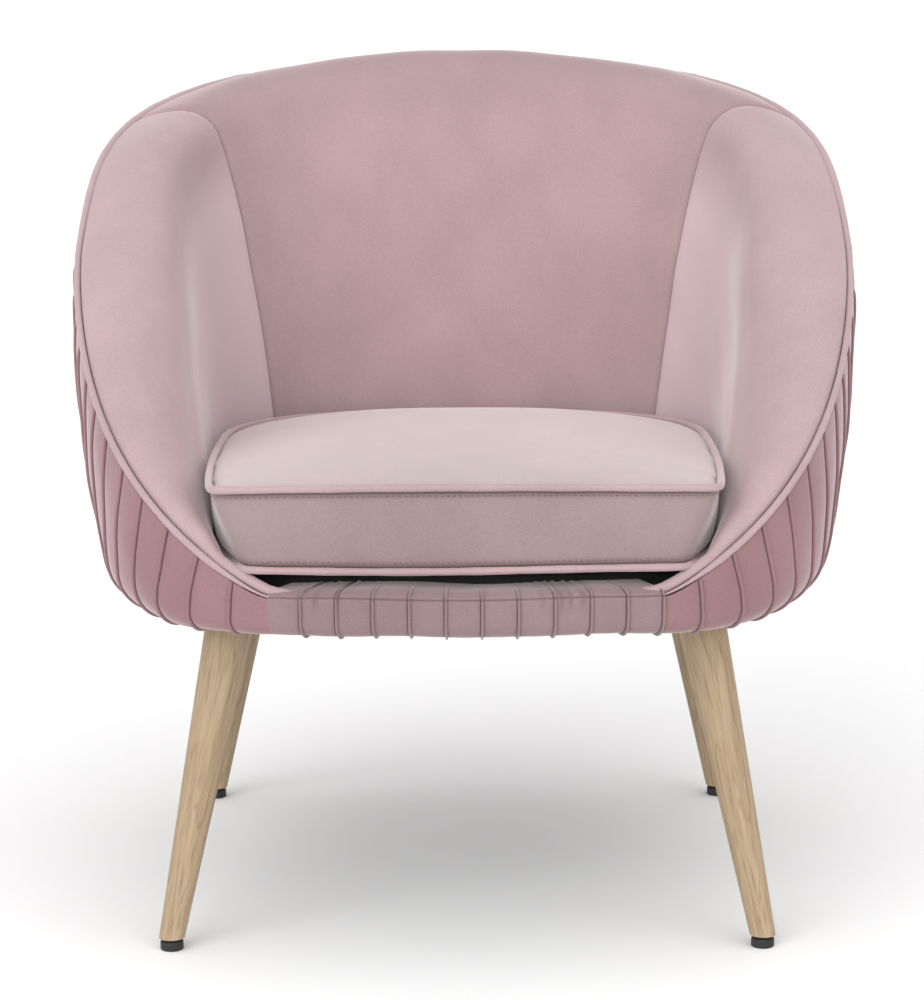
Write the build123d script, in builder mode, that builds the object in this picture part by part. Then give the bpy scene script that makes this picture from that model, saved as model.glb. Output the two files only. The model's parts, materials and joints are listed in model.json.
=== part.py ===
from build123d import *
import os
from math import cos, radians, sin, sqrt

os.makedirs("parts", exist_ok=True)

# Upholstered tub armchair. Millimetres, +Z up, front towards -Y, origin on the floor.
# Left and right are as seen from the front: left is -X, right is +X.
# A bearing is an angle about the Z axis in degrees: 0 is the back (+Y), 90 is +X, 180 is the front.

# ---- Shell: its outline seen from above, and how the outline changes with height ----
SHELL_BOTTOM = 302.0
CREST_HEIGHT = 785.0
SHELL_HALF_WIDTH = 371.0
WIDEST_HEIGHT = 566.0
TUCK_BELOW_WIDEST = 0.00062
TUCK_ABOVE_WIDEST = 0.00030
BACK_REACH = 352.0
BACK_REACH_HEIGHT = 690.0
BACK_LEAN = 0.00040
FRONT_REACH = 348.0
FRONT_RETREAT = 13.0
FRONT_RETREAT_RISE = 240.0
BACK_POWER = 3.0
FRONT_POWER_LOW = 3.5
FRONT_POWER_HIGH = 2.07
BOTTOM_ROUNDING = 32.0
FRONT_BOTTOM_ROUNDING = 14.0
ROUNDING_CHANGE_START = 122.0
ROUNDING_CHANGE_END = 150.0

# ---- Rim: the seam line where the outer cover meets the lining ----
RIM_BACK_HEIGHT = 766.0
RIM_END_HEIGHT = 338.0
RIM_END_BEARING = 152.0
RIM_FALL_START = 2.29
RIM_FALL_END = 1.28
ROLL_RISE = CREST_HEIGHT - RIM_BACK_HEIGHT
SHOULDER_LIFT = 15.0
SHOULDER_FROM = (22.0, 38.0)
SHOULDER_TO = (70.0, 98.0)
CREST_SETBACK = 0.42
ROLL_DROP = 0.55
PIPING_RADIUS = 4.0

# ---- Inside of the tub ----
TUB_FLOOR = 350.0
TUB_HALF_WIDTH = 244.0
TUB_HALF_WIDTH_GAIN = 50.0
TUB_BACK = 235.0
TUB_BACK_GAIN = 45.0
TUB_FRONT = 430.0
TUB_FRONT_LOSS = 20.0
TUB_GAIN_RISE = 400.0
TUB_POWER = 3.0

# ---- Layers of the wall, from the outside in ----
COVER = 3.0
OUTER_COVER = 4.0
BOARD = 3.0
LAYER_GAP = 0.4
LAID_GAP = 0.1
BOARD_BELOW_RIM = 11.0
COVER_BELOW_PIPING = 1.6
PIPING_OVERHANG = 0.5
FOAM_GAP = 1.6
RIB_DEPTH = 26.0
RIB_CLEARANCE = 12.0
RIB_THICKNESS = 18.0
HOOP_DEPTH = 22.0
HOOP_CLEARANCE = 10.0
HOOP_HEIGHT = 20.0
HOOP_BELOW_RIM = 20.0
RIB_HALF_TURN = 1.6
RIB_BELOW_HOOP = 0.5
RIB_TAPER = 4.0
FOAM_OFF_RIBS = 5.0
FOAM_OFF_BOARD = 9.0
FOAM_OFF_BOARD_AT_RIM = 6.0
FOAM_ABOVE_HOOP = 2.0
FOAM_LEDGE_RISE = 3.0
FRONT_FOAM_FACE = ((12.0, 0.0), (10.0, 5.0))
FRONT_FOAM_CROWN = ((14.0, 4.0), (26.0, 0.0))
FRONT_ROLL_TURNS = (35, 62, 90)

# ---- Bearings of the panels and ribs ----
BACK_EDGE = 52.0
ARM_END = 147.0
SEAM_GAP = 0.12
BACK_BEARINGS = (-BACK_EDGE, -44, -33, -22, -11, 0, 11, 22, 33, 44, BACK_EDGE)
ARM_BEARINGS = (BACK_EDGE + SEAM_GAP, 61, 72, 84, 96, 107, 117, 126, 134, 141, ARM_END)
ARM_FOAM_BEARINGS = ARM_BEARINGS[:-2] + (141.5,)
FRONT_BEARINGS = (ARM_END + SEAM_GAP, 155, 163, 171, 180, 189, 197, 205, 213 - SEAM_GAP)
LAST_RIB = 121.0
RIBS = {
    "back_rib": 0,
    "back_rib_left": -34,
    "back_rib_right": 34,
    "side_rib_left": -72,
    "side_rib_right": 72,
    "arm_rib_left": -98,
    "arm_rib_right": 98,
    "arm_post_left": -LAST_RIB,
    "arm_post_right": LAST_RIB,
}

# ---- Base, deck and seat suspension ----
RING_BOTTOM = 306.5
RING_THICKNESS = 24.0
RING_TOP = RING_BOTTOM + RING_THICKNESS
RING_WIDTH = 95.0
RING_INSET = 9.0
HEM_WIDTH = 26.0
WEB_THICKNESS = 1.3
WEB_WIDTH = 55.0
DECK_PAD_BOTTOM = 334.0
DECK_PAD_TOP = 348.0
DECK_CLOTH = 1.0
DUST_COVER = 1.0
FRONT_ROLL_TOP = 349.0
FRONT_SEAM_HEIGHT = 340.0
FRONT_ROLL_DEPTH = 22.0
FRONT_ROLL_TO_DECK = 46.0
DECK_HALF_WIDTH = 238.0
DECK_BACK = 229.0
DECK_FRONT = 294.0
DECK_FRONT_POWER = 3.5
LENGTHWISE_X = (-160, -80, 0, 80, 160)
CROSSWISE_Y = (-165, -75, 15, 105)
LENGTHWISE_MIDDLE = -25.0
LENGTHWISE_LENGTH = 490.0
CROSSWISE_LENGTH = 530.0

# ---- Seat cushion: a loose boxed cushion that lifts straight out ----
CUSHION_BOTTOM = 351.6
CUSHION_TOP = 434.0
CUSHION_HALF_WIDTH = 235.0
CUSHION_BACK = 220.0
CUSHION_FRONT = 323.0
CUSHION_SIDE_REACH = 467.0
CUSHION_SIDE_REACH_GAIN = 111.0
CUSHION_HALF_WIDTH_GAIN = 7.0
CUSHION_BACK_GAIN = 6.0
CUSHION_POWER = 2.5
CUSHION_CORNER_POWER = 16.0
CUSHION_COVER = 2.0
CUSHION_PIPING_RADIUS = 3.2
PIPING_FROM_EDGE = 5.0

# ---- Legs and levelling glides ----
LEG_TOP = SHELL_BOTTOM - DUST_COVER
LEG_BOTTOM = 11.0
LEG_TOP_RADIUS = 22.3
LEG_BOTTOM_RADIUS = 11.5
LEG_TOP_X = 212.0
LEG_FOOT_X = 268.0
LEGS = {
    "front_left": (-1, -227.0, -278.0),
    "front_right": (1, -227.0, -278.0),
    "rear_left": (-1, 175.0, 227.0),
    "rear_right": (1, 175.0, 227.0),
}
BOLT_RADIUS = 3.95
BOLT_BOTTOM = 262.0
BOLT_TOP = 333.3
GLIDE_PAD_RADIUS = 10.5
GLIDE_PAD_HEIGHT = 9.0
STEM_RADIUS = 2.95
STEM_BOTTOM = 3.2
STEM_TOP = 34.0
INSERT_RADIUS = 5.0
INSERT_HEIGHT = 13.0
TEE_BARREL_RADIUS = 5.0
TEE_BARREL_HEIGHT = 9.0
TEE_FLANGE_RADIUS = 10.0
TEE_FLANGE = 1.5
RUNNING_CLEARANCE = 0.05


def clamp(value, low, high):
    return max(low, min(high, value))


def eased(value):
    """A smooth step from 0 to 1."""
    value = clamp(value, 0, 1)
    return value * value * (3 - 2 * value)


def rounded_outline(bearing, half_width, back, front, back_power, front_power):
    """Distance from the Z axis to a rounded outline, along a bearing."""
    across = abs(sin(radians(bearing)))
    along = cos(radians(bearing))
    reach, power = (back, back_power) if along > 0 else (front, front_power)
    return ((across / half_width) ** power + (abs(along) / reach) ** power) ** (-1 / power)


def bottom_rounding(bearing):
    """Radius of the shell's lower edge: generous at the back and sides, tighter at the front."""
    from_back = min(bearing % 360, 360 - bearing % 360)
    change = (from_back - ROUNDING_CHANGE_START) / (ROUNDING_CHANGE_END - ROUNDING_CHANGE_START)
    return BOTTOM_ROUNDING + (FRONT_BOTTOM_ROUNDING - BOTTOM_ROUNDING) * eased(change)


def shell_radius(bearing, z, inset=0.0):
    """Outer face of the chair, or a face that lies inset millimetres inside it."""
    above = z - WIDEST_HEIGHT
    tuck = TUCK_ABOVE_WIDEST if above > 0 else TUCK_BELOW_WIDEST
    half_width = SHELL_HALF_WIDTH - tuck * above**2
    back = BACK_REACH - BACK_LEAN * (z - BACK_REACH_HEIGHT) ** 2
    blend = clamp((z - RIM_END_HEIGHT) / FRONT_RETREAT_RISE, 0, 1.2)
    front = FRONT_REACH - FRONT_RETREAT * blend
    front_power = FRONT_POWER_LOW + (FRONT_POWER_HIGH - FRONT_POWER_LOW) * blend
    radius = rounded_outline(bearing, half_width, back, front, BACK_POWER, front_power)
    rounding = max(bottom_rounding(bearing) - inset, 0)
    below = clamp(SHELL_BOTTOM + inset + rounding - z, 0, rounding)
    return radius - inset - (rounding - sqrt(rounding**2 - below**2))


def tub_radius(bearing, z, behind=0.0):
    """Visible face of the lining below its roll, or a face that lies behind it in the wall."""
    rise = (z - TUB_FLOOR) / TUB_GAIN_RISE
    half_width = TUB_HALF_WIDTH + TUB_HALF_WIDTH_GAIN * rise
    back = TUB_BACK + TUB_BACK_GAIN * rise
    front = TUB_FRONT - TUB_FRONT_LOSS * rise
    return rounded_outline(bearing, half_width, back, front, TUB_POWER, TUB_POWER) + behind


def shoulder_lift(bearing):
    """At the shoulders the rim's seam climbs almost to the top of the roll."""
    (rise_from, rise_to), (fall_from, fall_to) = SHOULDER_FROM, SHOULDER_TO
    up = eased((abs(bearing) - rise_from) / (rise_to - rise_from))
    down = eased((abs(bearing) - fall_from) / (fall_to - fall_from))
    return SHOULDER_LIFT * up * (1 - down)


def rim_level(bearing):
    """The sweep that the rim follows down from the back to the ends of the arms."""
    along = clamp(abs(bearing) / RIM_END_BEARING, 0, 1)
    fall = RIM_BACK_HEIGHT - RIM_END_HEIGHT
    return RIM_END_HEIGHT + fall * (1 - along**RIM_FALL_START) ** RIM_FALL_END


def rim_height(bearing):
    return rim_level(bearing) + shoulder_lift(bearing)


def radial_plane(bearing):
    """Upright plane through the Z axis: local X runs outwards, local Y runs up."""
    turn = radians(bearing)
    return Plane(origin=(0, 0, 0), x_dir=(sin(turn), cos(turn), 0), z_dir=(cos(turn), -sin(turn), 0))


def closed_section(plane, *runs):
    """Face on a plane whose edge is smooth runs of points joined end to end by straight lines."""
    with BuildSketch(plane) as section:
        with BuildLine():
            for number, run in enumerate(runs):
                if len(run) > 2:
                    Spline(*run)
                elif len(run) == 2:
                    Line(*run)
                Line(run[-1], runs[(number + 1) % len(runs)][0])
        make_face()
    return section.sketch


def level_outline(z, radius_at, step=6):
    """Face at height z inside a smooth closed outline, given its radius for each bearing."""
    bearings = range(0, 360, step)
    with BuildSketch(Plane.XY.offset(z)) as section:
        with BuildLine():
            Spline(
                *[(radius_at(b) * sin(radians(b)), radius_at(b) * cos(radians(b))) for b in bearings],
                periodic=True,
            )
        make_face()
    return section.sketch


def evenly(low, high, count):
    return [low + (high - low) * i / (count - 1) for i in range(count)]


def shell_run(bearing, inset, high, low=None):
    """Points up the outer face at a bearing, through the bottom rounding when low is not given."""
    rounding = bottom_rounding(bearing) - inset
    if low is None:
        curve = [rounding * (1 - cos(radians(turn))) for turn in (0, 25, 50, 72)]
        heights = [SHELL_BOTTOM + inset + rise for rise in curve]
        heights += evenly(SHELL_BOTTOM + bottom_rounding(bearing), high, 5)
    else:
        heights = evenly(low, high, 5)
    return [(shell_radius(bearing, z, inset), z) for z in heights]


def lining_run(bearing, behind, low, start=17):
    """Points from the rim over the crest and down the inside, a little behind the lining's face."""
    rim = rim_height(bearing)
    outer = shell_radius(bearing, rim)
    thickness = outer - tub_radius(bearing, rim)
    rise = min(ROLL_RISE - shoulder_lift(bearing), 0.75 * thickness)
    crest = outer - CREST_SETBACK * thickness
    shoulder = max(rim - ROLL_DROP * thickness, low + 4)
    front_half = crest - tub_radius(bearing, shoulder, behind)
    run = []
    for turn in evenly(start, 90, 4):
        across = (outer - crest - behind) * cos(radians(turn))
        run.append((crest + across, rim + (rise - behind) * sin(radians(turn))))
    for turn in (115, 140, 163):
        up = (rim + rise - behind - shoulder) * sin(radians(turn))
        run.append((crest + front_half * cos(radians(turn)), shoulder + up))
    run += [(tub_radius(bearing, z, behind), z) for z in evenly(shoulder, low, 4)]
    return run


def rib_space(bearing):
    """How far the foam stays inside the outer face: room for the ribs, closing at the arm's end."""
    open_space = RIB_CLEARANCE + RIB_DEPTH + FOAM_OFF_RIBS
    closed_space = OUTER_COVER + BOARD + FOAM_OFF_BOARD
    fade = clamp((abs(bearing) - LAST_RIB - 4) / 12, 0, 1)
    return open_space + (closed_space - open_space) * fade


def lining_section(bearing):
    face = lining_run(bearing, 0, DECK_PAD_BOTTOM)
    under = lining_run(bearing, COVER, DECK_PAD_BOTTOM)
    return closed_section(radial_plane(bearing), face, under[::-1])


def foam_section(bearing):
    """Foam follows the underside of the lining, and steps in below the rim for ribs and hoop."""
    rim = rim_height(bearing)
    top = lining_run(bearing, COVER + FOAM_GAP, DECK_PAD_BOTTOM, 30)
    step = max(rim - HOOP_BELOW_RIM + FOAM_ABOVE_HOOP, DECK_PAD_BOTTOM + 3)
    heights = evenly(DECK_PAD_BOTTOM, step, 5)
    back_face = [(shell_radius(bearing, z, rib_space(bearing)), z) for z in heights]
    shelf = shell_radius(bearing, step, OUTER_COVER + BOARD + FOAM_OFF_BOARD_AT_RIM)
    ledge = shell_radius(bearing, rim) - 2 * PIPING_RADIUS - FOAM_OFF_BOARD_AT_RIM
    ledge_height = rim + FOAM_LEDGE_RISE - 0.5 * shoulder_lift(bearing)
    return closed_section(
        radial_plane(bearing), top, back_face, [(shelf, step)], [(ledge, ledge_height)]
    )


def board_section(bearing):
    low = SHELL_BOTTOM + BOTTOM_ROUNDING
    high = rim_height(bearing) - BOARD_BELOW_RIM
    outside = shell_run(bearing, OUTER_COVER + LAYER_GAP, high, low)
    inside = shell_run(bearing, OUTER_COVER + LAYER_GAP + BOARD, high, low)
    return closed_section(radial_plane(bearing), outside, inside[::-1])


def outer_cover_section(bearing):
    """Outer cover: up the shell to the rim, and turned under the base as a flat hem."""
    high = rim_height(bearing) - PIPING_RADIUS - COVER_BELOW_PIPING
    outside = shell_run(bearing, 0, high)
    inside = shell_run(bearing, OUTER_COVER, high)
    hem = shell_radius(bearing, SHELL_BOTTOM) - HEM_WIDTH
    edge = [(hem, SHELL_BOTTOM + OUTER_COVER), (hem, SHELL_BOTTOM)]
    return closed_section(radial_plane(bearing), outside, inside[::-1], edge)


def front_band_section(bearing):
    """Band below the seat: hem, rounded bottom, upright face, and a roll back to the deck."""
    def face(inset):
        points = shell_run(bearing, inset, FRONT_SEAM_HEIGHT)
        outer = shell_radius(bearing, FRONT_SEAM_HEIGHT)
        for turn in FRONT_ROLL_TURNS:
            outwards = (FRONT_ROLL_DEPTH - inset) * cos(radians(turn))
            up = (FRONT_ROLL_TOP - FRONT_SEAM_HEIGHT - inset) * sin(radians(turn))
            points.append((outer - FRONT_ROLL_DEPTH + outwards, FRONT_SEAM_HEIGHT + up))
        points.append((outer - FRONT_ROLL_TO_DECK, FRONT_ROLL_TOP - inset))
        return points
    hem = shell_radius(bearing, SHELL_BOTTOM) - HEM_WIDTH
    edge = [(hem, SHELL_BOTTOM + COVER), (hem, SHELL_BOTTOM)]
    return closed_section(radial_plane(bearing), face(0), face(COVER)[::-1], edge)


def front_foam_section(bearing):
    outer = shell_radius(bearing, FRONT_SEAM_HEIGHT)
    inner = outer - FRONT_ROLL_TO_DECK
    top = FRONT_ROLL_TOP - COVER - FOAM_GAP
    low = RING_TOP + 2 * LAID_GAP
    bulge = [(outer - inwards, low + above) for inwards, above in FRONT_FOAM_FACE]
    bulge += [(outer - inwards, top - below) for inwards, below in FRONT_FOAM_CROWN]
    return closed_section(radial_plane(bearing), bulge, [(inner, top)], [(inner, low)])


def hoop_section(bearing):
    high = rim_level(bearing) - HOOP_BELOW_RIM
    low = high - HOOP_HEIGHT
    outside = [(shell_radius(bearing, z, HOOP_CLEARANCE), z) for z in (low, high)]
    inside = [(radius - HOOP_DEPTH, z) for radius, z in outside]
    return closed_section(radial_plane(bearing), outside, inside[::-1])


def mirrored(bearings):
    return [-b for b in bearings]


def save(piece, name):
    piece.part.label = name
    export_step(piece.part, f"parts/{name}.step")


# ---- Base ring: the board that carries the ribs and takes the leg bolts ----
def ring_outer(bearing):
    return shell_radius(bearing, SHELL_BOTTOM) + bottom_rounding(bearing) - RING_INSET


def ring_inner(bearing):
    return ring_outer(bearing) - RING_WIDTH


leg_tops = [(side * LEG_TOP_X, top_y) for side, top_y, foot_y in LEGS.values()]

with BuildPart() as base_ring:
    with BuildSketch(Plane.XY.offset(RING_BOTTOM)):
        add(level_outline(0, ring_outer))
        add(level_outline(0, ring_inner), mode=Mode.SUBTRACT)
        with Locations(*leg_tops):
            Circle(TEE_BARREL_RADIUS + 2 * LAID_GAP, mode=Mode.SUBTRACT)
    extrude(amount=RING_THICKNESS)
    lower_edges = base_ring.edges().filter_by(GeomType.BSPLINE).group_by(Axis.Z)[0]
    fillet(lower_edges.sort_by(SortBy.LENGTH)[-1], RING_THICKNESS - 3)
save(base_ring, "base_ring")

# ---- Ribs: upright boards on the ring, one for each bearing ----
for name, bearing in RIBS.items():
    lowest_rim = min(rim_level(bearing + turn) for turn in (-RIB_HALF_TURN, RIB_HALF_TURN))
    top = lowest_rim - HOOP_BELOW_RIM - HOOP_HEIGHT - RIB_BELOW_HOOP
    outside = shell_run(bearing, RIB_CLEARANCE, top, RING_TOP + RIB_TAPER)
    inside = shell_run(bearing, RIB_CLEARANCE + RIB_DEPTH, top, RING_TOP + RIB_TAPER)
    outside = [(outside[0][0], RING_TOP + LAID_GAP)] + outside[1:]
    inside = [(inside[0][0], RING_TOP + LAID_GAP)] + inside[1:]
    with BuildPart() as rib:
        near_face = radial_plane(bearing).offset(-RIB_THICKNESS / 2)
        extrude(closed_section(near_face, outside, inside[::-1]), amount=RIB_THICKNESS)
    save(rib, name)

# ---- Rim hoop: bent rail on top of the ribs ----
with BuildPart() as rim_hoop:
    loft([hoop_section(b) for b in mirrored((LAST_RIB + 2, 108, 96, 84, 72, 60, 46, 30, 15))]
         + [hoop_section(b) for b in (0, 15, 30, 46, 60, 72, 84, 96, 108, LAST_RIB + 2)])
save(rim_hoop, "rim_hoop")

# ---- Back panels ----
for name, section in (
    ("back_cover", lining_section),
    ("back_foam", foam_section),
    ("outer_back_board", board_section),
    ("outer_back_cover", outer_cover_section),
):
    with BuildPart() as panel:
        loft([section(b) for b in BACK_BEARINGS])
    save(panel, name)

# ---- Arm panels, left and right ----
for side, sign in (("left", -1), ("right", 1)):
    for name, section, bearings in (
        ("arm_cover", lining_section, ARM_BEARINGS),
        ("arm_foam", foam_section, ARM_FOAM_BEARINGS),
        ("outer_side_board", board_section, ARM_BEARINGS),
        ("outer_side_cover", outer_cover_section, ARM_BEARINGS),
    ):
        with BuildPart() as panel:
            loft([section(sign * b) for b in bearings])
        save(panel, f"{name}_{side}")

# ---- Front edge ----
with BuildPart() as front_band:
    loft([front_band_section(b) for b in FRONT_BEARINGS])
save(front_band, "front_band")

with BuildPart() as front_edge_foam:
    loft([front_foam_section(b) for b in FRONT_BEARINGS])
save(front_edge_foam, "front_edge_foam")

# ---- Rim piping: sewn into the seam from one end of the front band to the other ----
def rim_point(bearing):
    radius = shell_radius(bearing, rim_height(bearing)) - PIPING_RADIUS + PIPING_OVERHANG
    return (radius * sin(radians(bearing)), radius * cos(radians(bearing)), rim_height(bearing))


with BuildPart() as rim_piping:
    with BuildLine() as rim_line:
        Spline(*[rim_point(b) for b in evenly(-ARM_END, ARM_END, 43)])
    with BuildSketch(rim_line.line ^ 0):
        Circle(PIPING_RADIUS)
    sweep()
save(rim_piping, "rim_piping")

# ---- Seat suspension: webbing straps, tacked to the ring ----
with BuildPart() as webbing_lengthwise:
    with BuildSketch(Plane.XY.offset(RING_TOP + LAID_GAP)):
        with Locations(*[(x, LENGTHWISE_MIDDLE) for x in LENGTHWISE_X]):
            Rectangle(WEB_WIDTH, LENGTHWISE_LENGTH)
    extrude(amount=WEB_THICKNESS)
save(webbing_lengthwise, "webbing_lengthwise")

with BuildPart() as webbing_crosswise:
    with BuildSketch(Plane.XY.offset(RING_TOP + 2 * LAID_GAP + WEB_THICKNESS)):
        with Locations(*[(0, y) for y in CROSSWISE_Y]):
            Rectangle(CROSSWISE_LENGTH, WEB_WIDTH)
    extrude(amount=WEB_THICKNESS)
save(webbing_crosswise, "webbing_crosswise")


# ---- Deck: thin pad and black cloth that the cushion rests on ----
def deck_radius(bearing):
    return rounded_outline(
        bearing, DECK_HALF_WIDTH, DECK_BACK, DECK_FRONT, TUB_POWER, DECK_FRONT_POWER
    )


with BuildPart() as deck_pad:
    extrude(level_outline(DECK_PAD_BOTTOM, deck_radius), amount=DECK_PAD_TOP - DECK_PAD_BOTTOM)
save(deck_pad, "deck_pad")

with BuildPart() as deck_cloth:
    extrude(level_outline(DECK_PAD_TOP + LAID_GAP, deck_radius), amount=DECK_CLOTH)
save(deck_cloth, "deck_cloth")

# ---- Dust cover under the base, with holes for the leg bolts ----
with BuildPart() as dust_cover:
    with BuildSketch(Plane.XY.offset(SHELL_BOTTOM - DUST_COVER)):
        add(level_outline(0, lambda b: shell_radius(b, SHELL_BOTTOM) - 8))
        with Locations(*leg_tops):
            Circle(BOLT_RADIUS + RUNNING_CLEARANCE, mode=Mode.SUBTRACT)
    extrude(amount=DUST_COVER)
save(dust_cover, "dust_cover")


# ---- Seat cushion ----
def cushion_radius(bearing, z, inset=0.0):
    """Plan of the cushion at a height: sides follow the arms, the front is cut almost straight."""
    up = clamp((z - CUSHION_BOTTOM) / (CUSHION_TOP - CUSHION_BOTTOM), 0, 1)
    along = cos(radians(bearing))
    half_width = CUSHION_HALF_WIDTH + CUSHION_HALF_WIDTH_GAIN * up
    back = CUSHION_BACK + CUSHION_BACK_GAIN * up
    side_reach = CUSHION_SIDE_REACH + CUSHION_SIDE_REACH_GAIN * up**3
    sides = rounded_outline(bearing, half_width, back, side_reach, CUSHION_POWER, CUSHION_POWER)
    if along > -0.2:
        return sides - inset
    front = CUSHION_FRONT / -along
    power = CUSHION_CORNER_POWER
    return (sides**-power + front**-power) ** (-1 / power) - inset


CUSHION_LEVELS = (0, 0.3, 0.55, 0.8, 1)


def cushion_block(low, high, inset):
    heights = [low + (high - low) * level for level in CUSHION_LEVELS]
    return [level_outline(z, lambda b, z=z: cushion_radius(b, z, inset), 5) for z in heights]


core_low = CUSHION_BOTTOM + CUSHION_COVER + LAID_GAP
core_high = CUSHION_TOP - CUSHION_COVER - LAID_GAP

with BuildPart() as cushion_core:
    loft(cushion_block(core_low, core_high, CUSHION_COVER + 2 * LAID_GAP))
save(cushion_core, "cushion_core")

with BuildPart() as cushion_boxing:
    loft(cushion_block(core_low, core_high, 0))
    loft(cushion_block(core_low, core_high, CUSHION_COVER), mode=Mode.SUBTRACT)
save(cushion_boxing, "cushion_boxing")

with BuildPart() as cushion_bottom_panel:
    outline = level_outline(CUSHION_BOTTOM, lambda b: cushion_radius(b, CUSHION_BOTTOM), 5)
    extrude(outline, amount=CUSHION_COVER)
save(cushion_bottom_panel, "cushion_bottom_panel")

with BuildPart() as cushion_top_panel:
    panel_bottom = CUSHION_TOP - CUSHION_COVER
    extrude(level_outline(panel_bottom, lambda b: cushion_radius(b, CUSHION_TOP), 5), amount=CUSHION_COVER)
save(cushion_top_panel, "cushion_top_panel")


def piping_loop(z):
    centre = CUSHION_PIPING_RADIUS + 0.8
    radius = [cushion_radius(b, z + PIPING_FROM_EDGE) + centre for b in range(0, 360, 5)]
    return [(r * sin(radians(5 * i)), r * cos(radians(5 * i)), z) for i, r in enumerate(radius)]


for name, z in (
    ("cushion_top_piping", CUSHION_TOP - PIPING_FROM_EDGE),
    ("cushion_bottom_piping", CUSHION_BOTTOM + PIPING_FROM_EDGE),
):
    with BuildPart() as piping:
        with BuildLine() as loop:
            Spline(*piping_loop(z), periodic=True)
        with BuildSketch(loop.line ^ 0):
            Circle(CUSHION_PIPING_RADIUS)
        sweep()
    save(piping, name)

# ---- Leg fixings: hanger bolts into the legs, tee nuts in the ring ----
with BuildPart() as leg_bolts:
    with BuildSketch(Plane.XY.offset(BOLT_BOTTOM)):
        with Locations(*leg_tops):
            Circle(BOLT_RADIUS)
    extrude(amount=BOLT_TOP - BOLT_BOTTOM)
save(leg_bolts, "leg_bolts")

with BuildPart() as tee_nuts:
    with BuildSketch(Plane.XY.offset(RING_TOP - TEE_BARREL_HEIGHT)):
        with Locations(*leg_tops):
            Circle(TEE_BARREL_RADIUS)
    extrude(amount=TEE_BARREL_HEIGHT)
    with BuildSketch(Plane.XY.offset(RING_TOP)):
        with Locations(*leg_tops):
            Circle(TEE_FLANGE_RADIUS)
    extrude(amount=TEE_FLANGE)
    with BuildSketch(Plane.XY.offset(RING_TOP - TEE_BARREL_HEIGHT)):
        with Locations(*leg_tops):
            Circle(BOLT_RADIUS + RUNNING_CLEARANCE)
    extrude(amount=TEE_BARREL_HEIGHT + TEE_FLANGE, mode=Mode.SUBTRACT)
save(tee_nuts, "tee_nuts")

# ---- Legs and levelling glides ----
OVERRUN = 20.0

for name, (side, top_y, foot_y) in LEGS.items():
    top = Vector(side * LEG_TOP_X, top_y, LEG_TOP)
    foot = Vector(side * LEG_FOOT_X, foot_y, LEG_BOTTOM)
    down = (foot - top).normalized()
    length = (foot - top).length
    taper = (LEG_TOP_RADIUS - LEG_BOTTOM_RADIUS) / length
    start = top - down * OVERRUN
    leg_plane = Plane(origin=start, z_dir=down)
    far_radius = LEG_BOTTOM_RADIUS - taper * OVERRUN
    with BuildPart() as leg:
        with BuildSketch(leg_plane):
            Circle(LEG_TOP_RADIUS + taper * OVERRUN)
        with BuildSketch(leg_plane.offset(length + 2 * OVERRUN)):
            Circle(far_radius)
        loft()
        split(bisect_by=Plane.XY.offset(LEG_TOP), keep=Keep.BOTTOM)
        split(bisect_by=Plane.XY.offset(LEG_BOTTOM), keep=Keep.TOP)
        with BuildSketch(Plane.XY.offset(BOLT_BOTTOM - 2)):
            with Locations((top.X, top.Y)):
                Circle(BOLT_RADIUS + RUNNING_CLEARANCE)
        extrude(amount=LEG_TOP - BOLT_BOTTOM + 4, mode=Mode.SUBTRACT)
        with BuildSketch(Plane.XY.offset(LEG_BOTTOM - 2)):
            with Locations((foot.X, foot.Y)):
                Circle(INSERT_RADIUS + RUNNING_CLEARANCE)
        extrude(amount=INSERT_HEIGHT + 2, mode=Mode.SUBTRACT)
        with BuildSketch(Plane.XY.offset(LEG_BOTTOM)):
            with Locations((foot.X, foot.Y)):
                Circle(STEM_RADIUS + 0.5)
        extrude(amount=STEM_TOP - LEG_BOTTOM + 3, mode=Mode.SUBTRACT)
    save(leg, f"{name}_leg")

    with BuildPart() as insert:
        with BuildSketch(Plane.XY.offset(LEG_BOTTOM)):
            with Locations((foot.X, foot.Y)):
                Circle(INSERT_RADIUS)
                Circle(STEM_RADIUS + RUNNING_CLEARANCE, mode=Mode.SUBTRACT)
        extrude(amount=INSERT_HEIGHT)
    save(insert, f"{name}_glide_insert")

    with BuildPart() as stem:
        with BuildSketch(Plane.XY.offset(STEM_BOTTOM)):
            with Locations((foot.X, foot.Y)):
                Circle(STEM_RADIUS)
        extrude(amount=STEM_TOP - STEM_BOTTOM)
    save(stem, f"{name}_glide_stem")

    with BuildPart() as pad:
        with BuildSketch(Plane.XY):
            with Locations((foot.X, foot.Y)):
                Circle(GLIDE_PAD_RADIUS)
        extrude(amount=GLIDE_PAD_HEIGHT)
        fillet(pad.edges().group_by(Axis.Z)[-1], 2.5)
        chamfer(pad.edges().group_by(Axis.Z)[0], 1.0)
        with BuildSketch(Plane.XY.offset(STEM_BOTTOM - 0.2)):
            with Locations((foot.X, foot.Y)):
                Circle(STEM_RADIUS + RUNNING_CLEARANCE)
        extrude(amount=GLIDE_PAD_HEIGHT, mode=Mode.SUBTRACT)
    save(pad, f"{name}_glide_pad")
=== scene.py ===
"""Looks of a velvet tub armchair, built around its CAD frame."""

import json
from math import cos, pi, radians, sin

import bpy
import numpy as np
from mathutils import Matrix, Vector


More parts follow.
